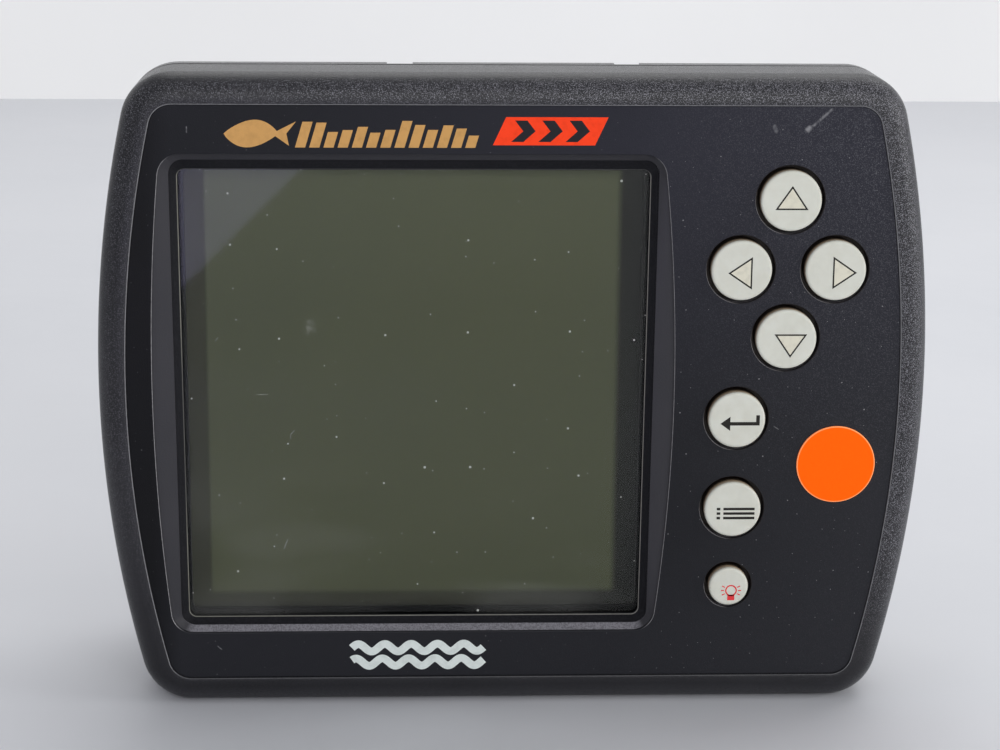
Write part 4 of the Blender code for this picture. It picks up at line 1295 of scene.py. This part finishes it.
def thread(start, end, radius, depth, pitch):
    """Profile points of a row of thread ridges from start to end."""
    points = []
    count = max(int(abs(end - start) / pitch), 1)
    step = (end - start) / count
    for i in range(count):
        points += [(start + step * i, radius), (start + step * (i + 0.5), radius - depth)]
    return points + [(end, radius)]


def sockets(paint):
    """Two panel sockets: threaded barrel, insulator, pins and the washer at the wall."""
    for name, x, pins in SOCKETS:
        place = (x, SOCKET_Z)
        washer = (BACK_WALL + GAP, BACK_WALL + GAP + 0.0008)
        flange = (washer[1] + GAP, washer[1] + GAP + 0.0013)
        inner_end = BODY_BACK - 0.0060
        ease = 0.0003
        barrel = [(REAR_REACH - ease, SOCKET_BORE), (REAR_REACH, SOCKET_BORE + ease),
                  (REAR_REACH, SOCKET_BARREL - 2 * ease), (REAR_REACH - ease, SOCKET_BARREL - ease)]
        barrel += thread(REAR_REACH - 2 * ease, flange[1] + ease, SOCKET_BARREL, 0.00035, 0.0007)
        barrel += [(flange[1], SOCKET_BARREL - ease), (flange[1], SOCKET_FLANGE - ease),
                   (flange[1] - ease, SOCKET_FLANGE), (flange[0], SOCKET_FLANGE),
                   (flange[0], SOCKET_BODY), (inner_end, SOCKET_BODY), (inner_end, SOCKET_BORE)]
        on_body(turned(f"{name}_barrel", barrel, [paint["chip"]], place, ring=True),
                "case", f"{name}_shell", slot="chip")

        core_face = inner_end + 0.0045
        edge, core = 0.0002, SOCKET_BORE - GAP
        insulator = [(inner_end, core), (core_face - edge, core), (core_face, core - edge)]
        on_body(turned(f"{name}_insulator", insulator, [paint["carbon"]], place),
                "case", f"{name}_core", slot="carbon")
        bm = bmesh.new()
        tip = core_face + 0.0043
        pin = [(core_face - 0.0005, 0.0006), (tip - 0.0005, 0.0006), (tip - 0.00015, 0.00045),
               (tip, 0.0002)]
        rods(bm, circle(0.0030, pins, x, SOCKET_Z, 0.5), pin, 20)
        on_body(close_mesh(f"{name}_pins", bm, [paint["gold_pin"]], 40.0), "case", slot="brass")

        low, high = SOCKET_HOLE + 0.0001, SOCKET_FLANGE - edge
        ring = [(washer[0], low), (washer[0], high - edge), (washer[0] + edge, high),
                (washer[1] - edge, high), (washer[1], high - edge), (washer[1], low)]
        on_body(turned(f"{name}_washer", ring, [paint["seal"]], place, ring=True),
                "case", f"{name}_seal", slot="rubber")


def back_fittings(paint):
    """Threaded knob inserts, the vent plug and the blank plate."""
    for word, sign in (("left", -1), ("right", 1)):
        profile = [(INSERT_X[0], INSERT_RADIUS - 0.0003), (INSERT_X[0] + 0.0003, INSERT_RADIUS),
                   (INSERT_X[1] - 0.0002, INSERT_RADIUS), (INSERT_X[1], INSERT_RADIUS - 0.0002),
                   (INSERT_X[1], INSERT_BORE + 0.0004)]
        profile += thread(INSERT_X[1] - 0.0003, INSERT_FLOOR + 0.0004, INSERT_BORE, -0.00022, 0.00055)
        profile.append((INSERT_FLOOR, INSERT_BORE - 0.0002))
        stations = [(sign * x, circle(radius, 48, BOSS_DEPTH, BOSS_Z)) for x, radius in profile]
        on_body(along_x(f"insert_{word}", stations, [paint["brass"]]), "case",
                f"knob_insert_{word}", slot="brass")

    rest = BACK_WALL + GAP
    stem, head, thick, ease = 0.0027, 0.0050, 0.0011, 0.0007
    profile = [(BODY_BACK - 0.001, stem), (rest, stem), (rest, head), (rest + thick, head)]
    profile += [(rest + thick + ease * math.sin(turn), head - ease + ease * math.cos(turn))
                for turn in arc(15, 90, 5)]
    plug = turned("breather", profile, [paint["seal"]], VENT_PLACE)
    for turn in arc(0, 120, 2):
        slot = bar_across(*VENT_PLACE, 0.0032, 0.00022, turn)
        combine(plug, loft("tool_slot", [(rest + 0.0012, slot), (rest + 0.0025, slot)],
                           [paint["seal"]]))
    on_body(settle(plug), "case", "vent_plug", slot="rubber")

    half_x, half_z = PLATE_SIZE[0] / 2, PLATE_SIZE[1] / 2

    def plate_edge(inset):
        return box_outline((-half_x + inset, half_x - inset),
                           (PLATE_Z - half_z + inset, PLATE_Z + half_z - inset),
                           0.002 - 0.5 * inset, 8, 8)

    front, groove, slope = rest + 0.0005, rest + 0.00035, 0.0001
    near, far = 0.0012, 0.0017
    sections = [(rest, plate_edge(0.0)), (front - slope, plate_edge(0.0)),
                (front, plate_edge(slope)), (front, plate_edge(near)),
                (groove, plate_edge(near + slope)), (groove, plate_edge(far - slope)),
                (front, plate_edge(far))]
    on_body(loft("blank_plate", sections, [paint["plate"]]), "case", "rear_plate", slot="plate")


def inner_pieces(paint):
    """Finishes for the CAD solids that are shown as they are."""
    finishes = {
        "window_lens": "lens", "lcd_frame": "lcd_frame", "lcd_glass": "display",
        "lcd_backlight": "white", "lcd_board": "board", "lcd_ribbon": "ribbon",
        "keypad_mat": "seal", "key_board": "board", "main_board": "board",
        "shield_can": "steel", "processor": "chip", "memory_chip": "chip",
        "sonar_transformer": "copper", "storage_capacitor": "sleeve",
        "power_inductor": "copper", "beeper": "chip", "board_header": "chip",
        "case_seal": "seal", "power_socket_nut": "steel", "transducer_socket_nut": "steel",
    }
    for number in range(1, 5):
        finishes[f"board_screw_{number}"] = "steel"
    for name, *_ in KEYS:
        finishes[f"{name}_contact"] = "carbon"
    for node, finish in finishes.items():
        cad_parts[node].material_slots[0].material = paint[finish]


# ---------------------------------------------------------------- stage

def softbox(name, place, target, size, power, colour=(1.0, 1.0, 1.0)):
    """A rectangular area light, turned towards a point."""
    data = bpy.data.lights.new(name, "AREA")
    data.shape = "RECTANGLE"
    data.size, data.size_y = size
    data.energy = power
    data.color = colour
    light = linked(name, data)
    light.location = place
    light.visible_camera = False
    way = Vector(target) - light.location
    light.rotation_euler = way.to_track_quat("-Z", "Y").to_euler()
    return light


def card(name, corners, finish):
    """A flat sheet of the studio."""
    bm = bmesh.new()
    bm.faces.new([bm.verts.new(corner) for corner in corners])
    mesh = bpy.data.meshes.new(name)
    bm.to_mesh(mesh)
    bm.free()
    mesh.materials.append(finish)
    return linked(name, mesh)


def stage_and_camera():
    """Floor, backdrop, lights and the camera."""
    floor = rectangle(-STAGE_SIDE, -STAGE_FRONT, STAGE_SIDE, FLOOR_BACK)
    card("floor", [(x, y, 0.0) for x, y in floor], paper_floor())
    backdrop = rectangle(-STAGE_SIDE, 0.0, STAGE_SIDE, BACKDROP_TOP)
    card("backdrop", [(x, FLOOR_BACK, z) for x, z in backdrop], lit_paper())

    world = bpy.data.worlds.new("studio")
    world.use_nodes = True
    background = world.node_tree.nodes["Background"]
    background.inputs["Color"].default_value = (0.84, 0.86, 0.90, 1.0)
    background.inputs["Strength"].default_value = 0.42
    bpy.context.scene.world = world

    softbox("back_box", (0.20, 0.45, 0.95), (0.0, 0.0, 0.05), (1.1, 0.7), 5.8)
    softbox("front_box", (0.30, -1.30, 0.50), (0.0, 0.0, 0.08), (1.2, 0.6), 7.4)
    softbox("right_box", (0.95, -0.25, 0.30), (0.0, 0.0, 0.06), (0.4, 0.5), 3.0)
    blue = softbox("blue_box", (-0.105, -0.30, 0.079), (-0.105, 0.0, 0.079), (0.10, 0.10), 0.046,
                   (0.62, 0.57, 1.0))
    blue.rotation_euler.rotate_axis("Z", math.radians(45.0))

    data = bpy.data.cameras.new("camera")
    data.lens = CAMERA_LENS
    data.sensor_width = 36.0
    camera = linked("camera", data)
    pose = Matrix.Translation((CAMERA_X, FACE_Y - CAMERA_REACH, CAMERA_Z))
    for angle, axis in ((-CAMERA_YAW, "Z"), (90.0 - CAMERA_PITCH, "X"), (CAMERA_ROLL, "Z")):
        pose = pose @ Matrix.Rotation(math.radians(angle), 4, axis)
    camera.matrix_world = pose
    bpy.context.scene.camera = camera
    bpy.context.scene.view_settings.view_transform = "Standard"


all_finishes = all_paints()
for build in (bezel, face_film, window_seal, stock_dot, keys, key_marks, face_marks, housing,
              case_screws, sockets, back_fittings, inner_pieces):
    build(all_finishes)
stage_and_camera()
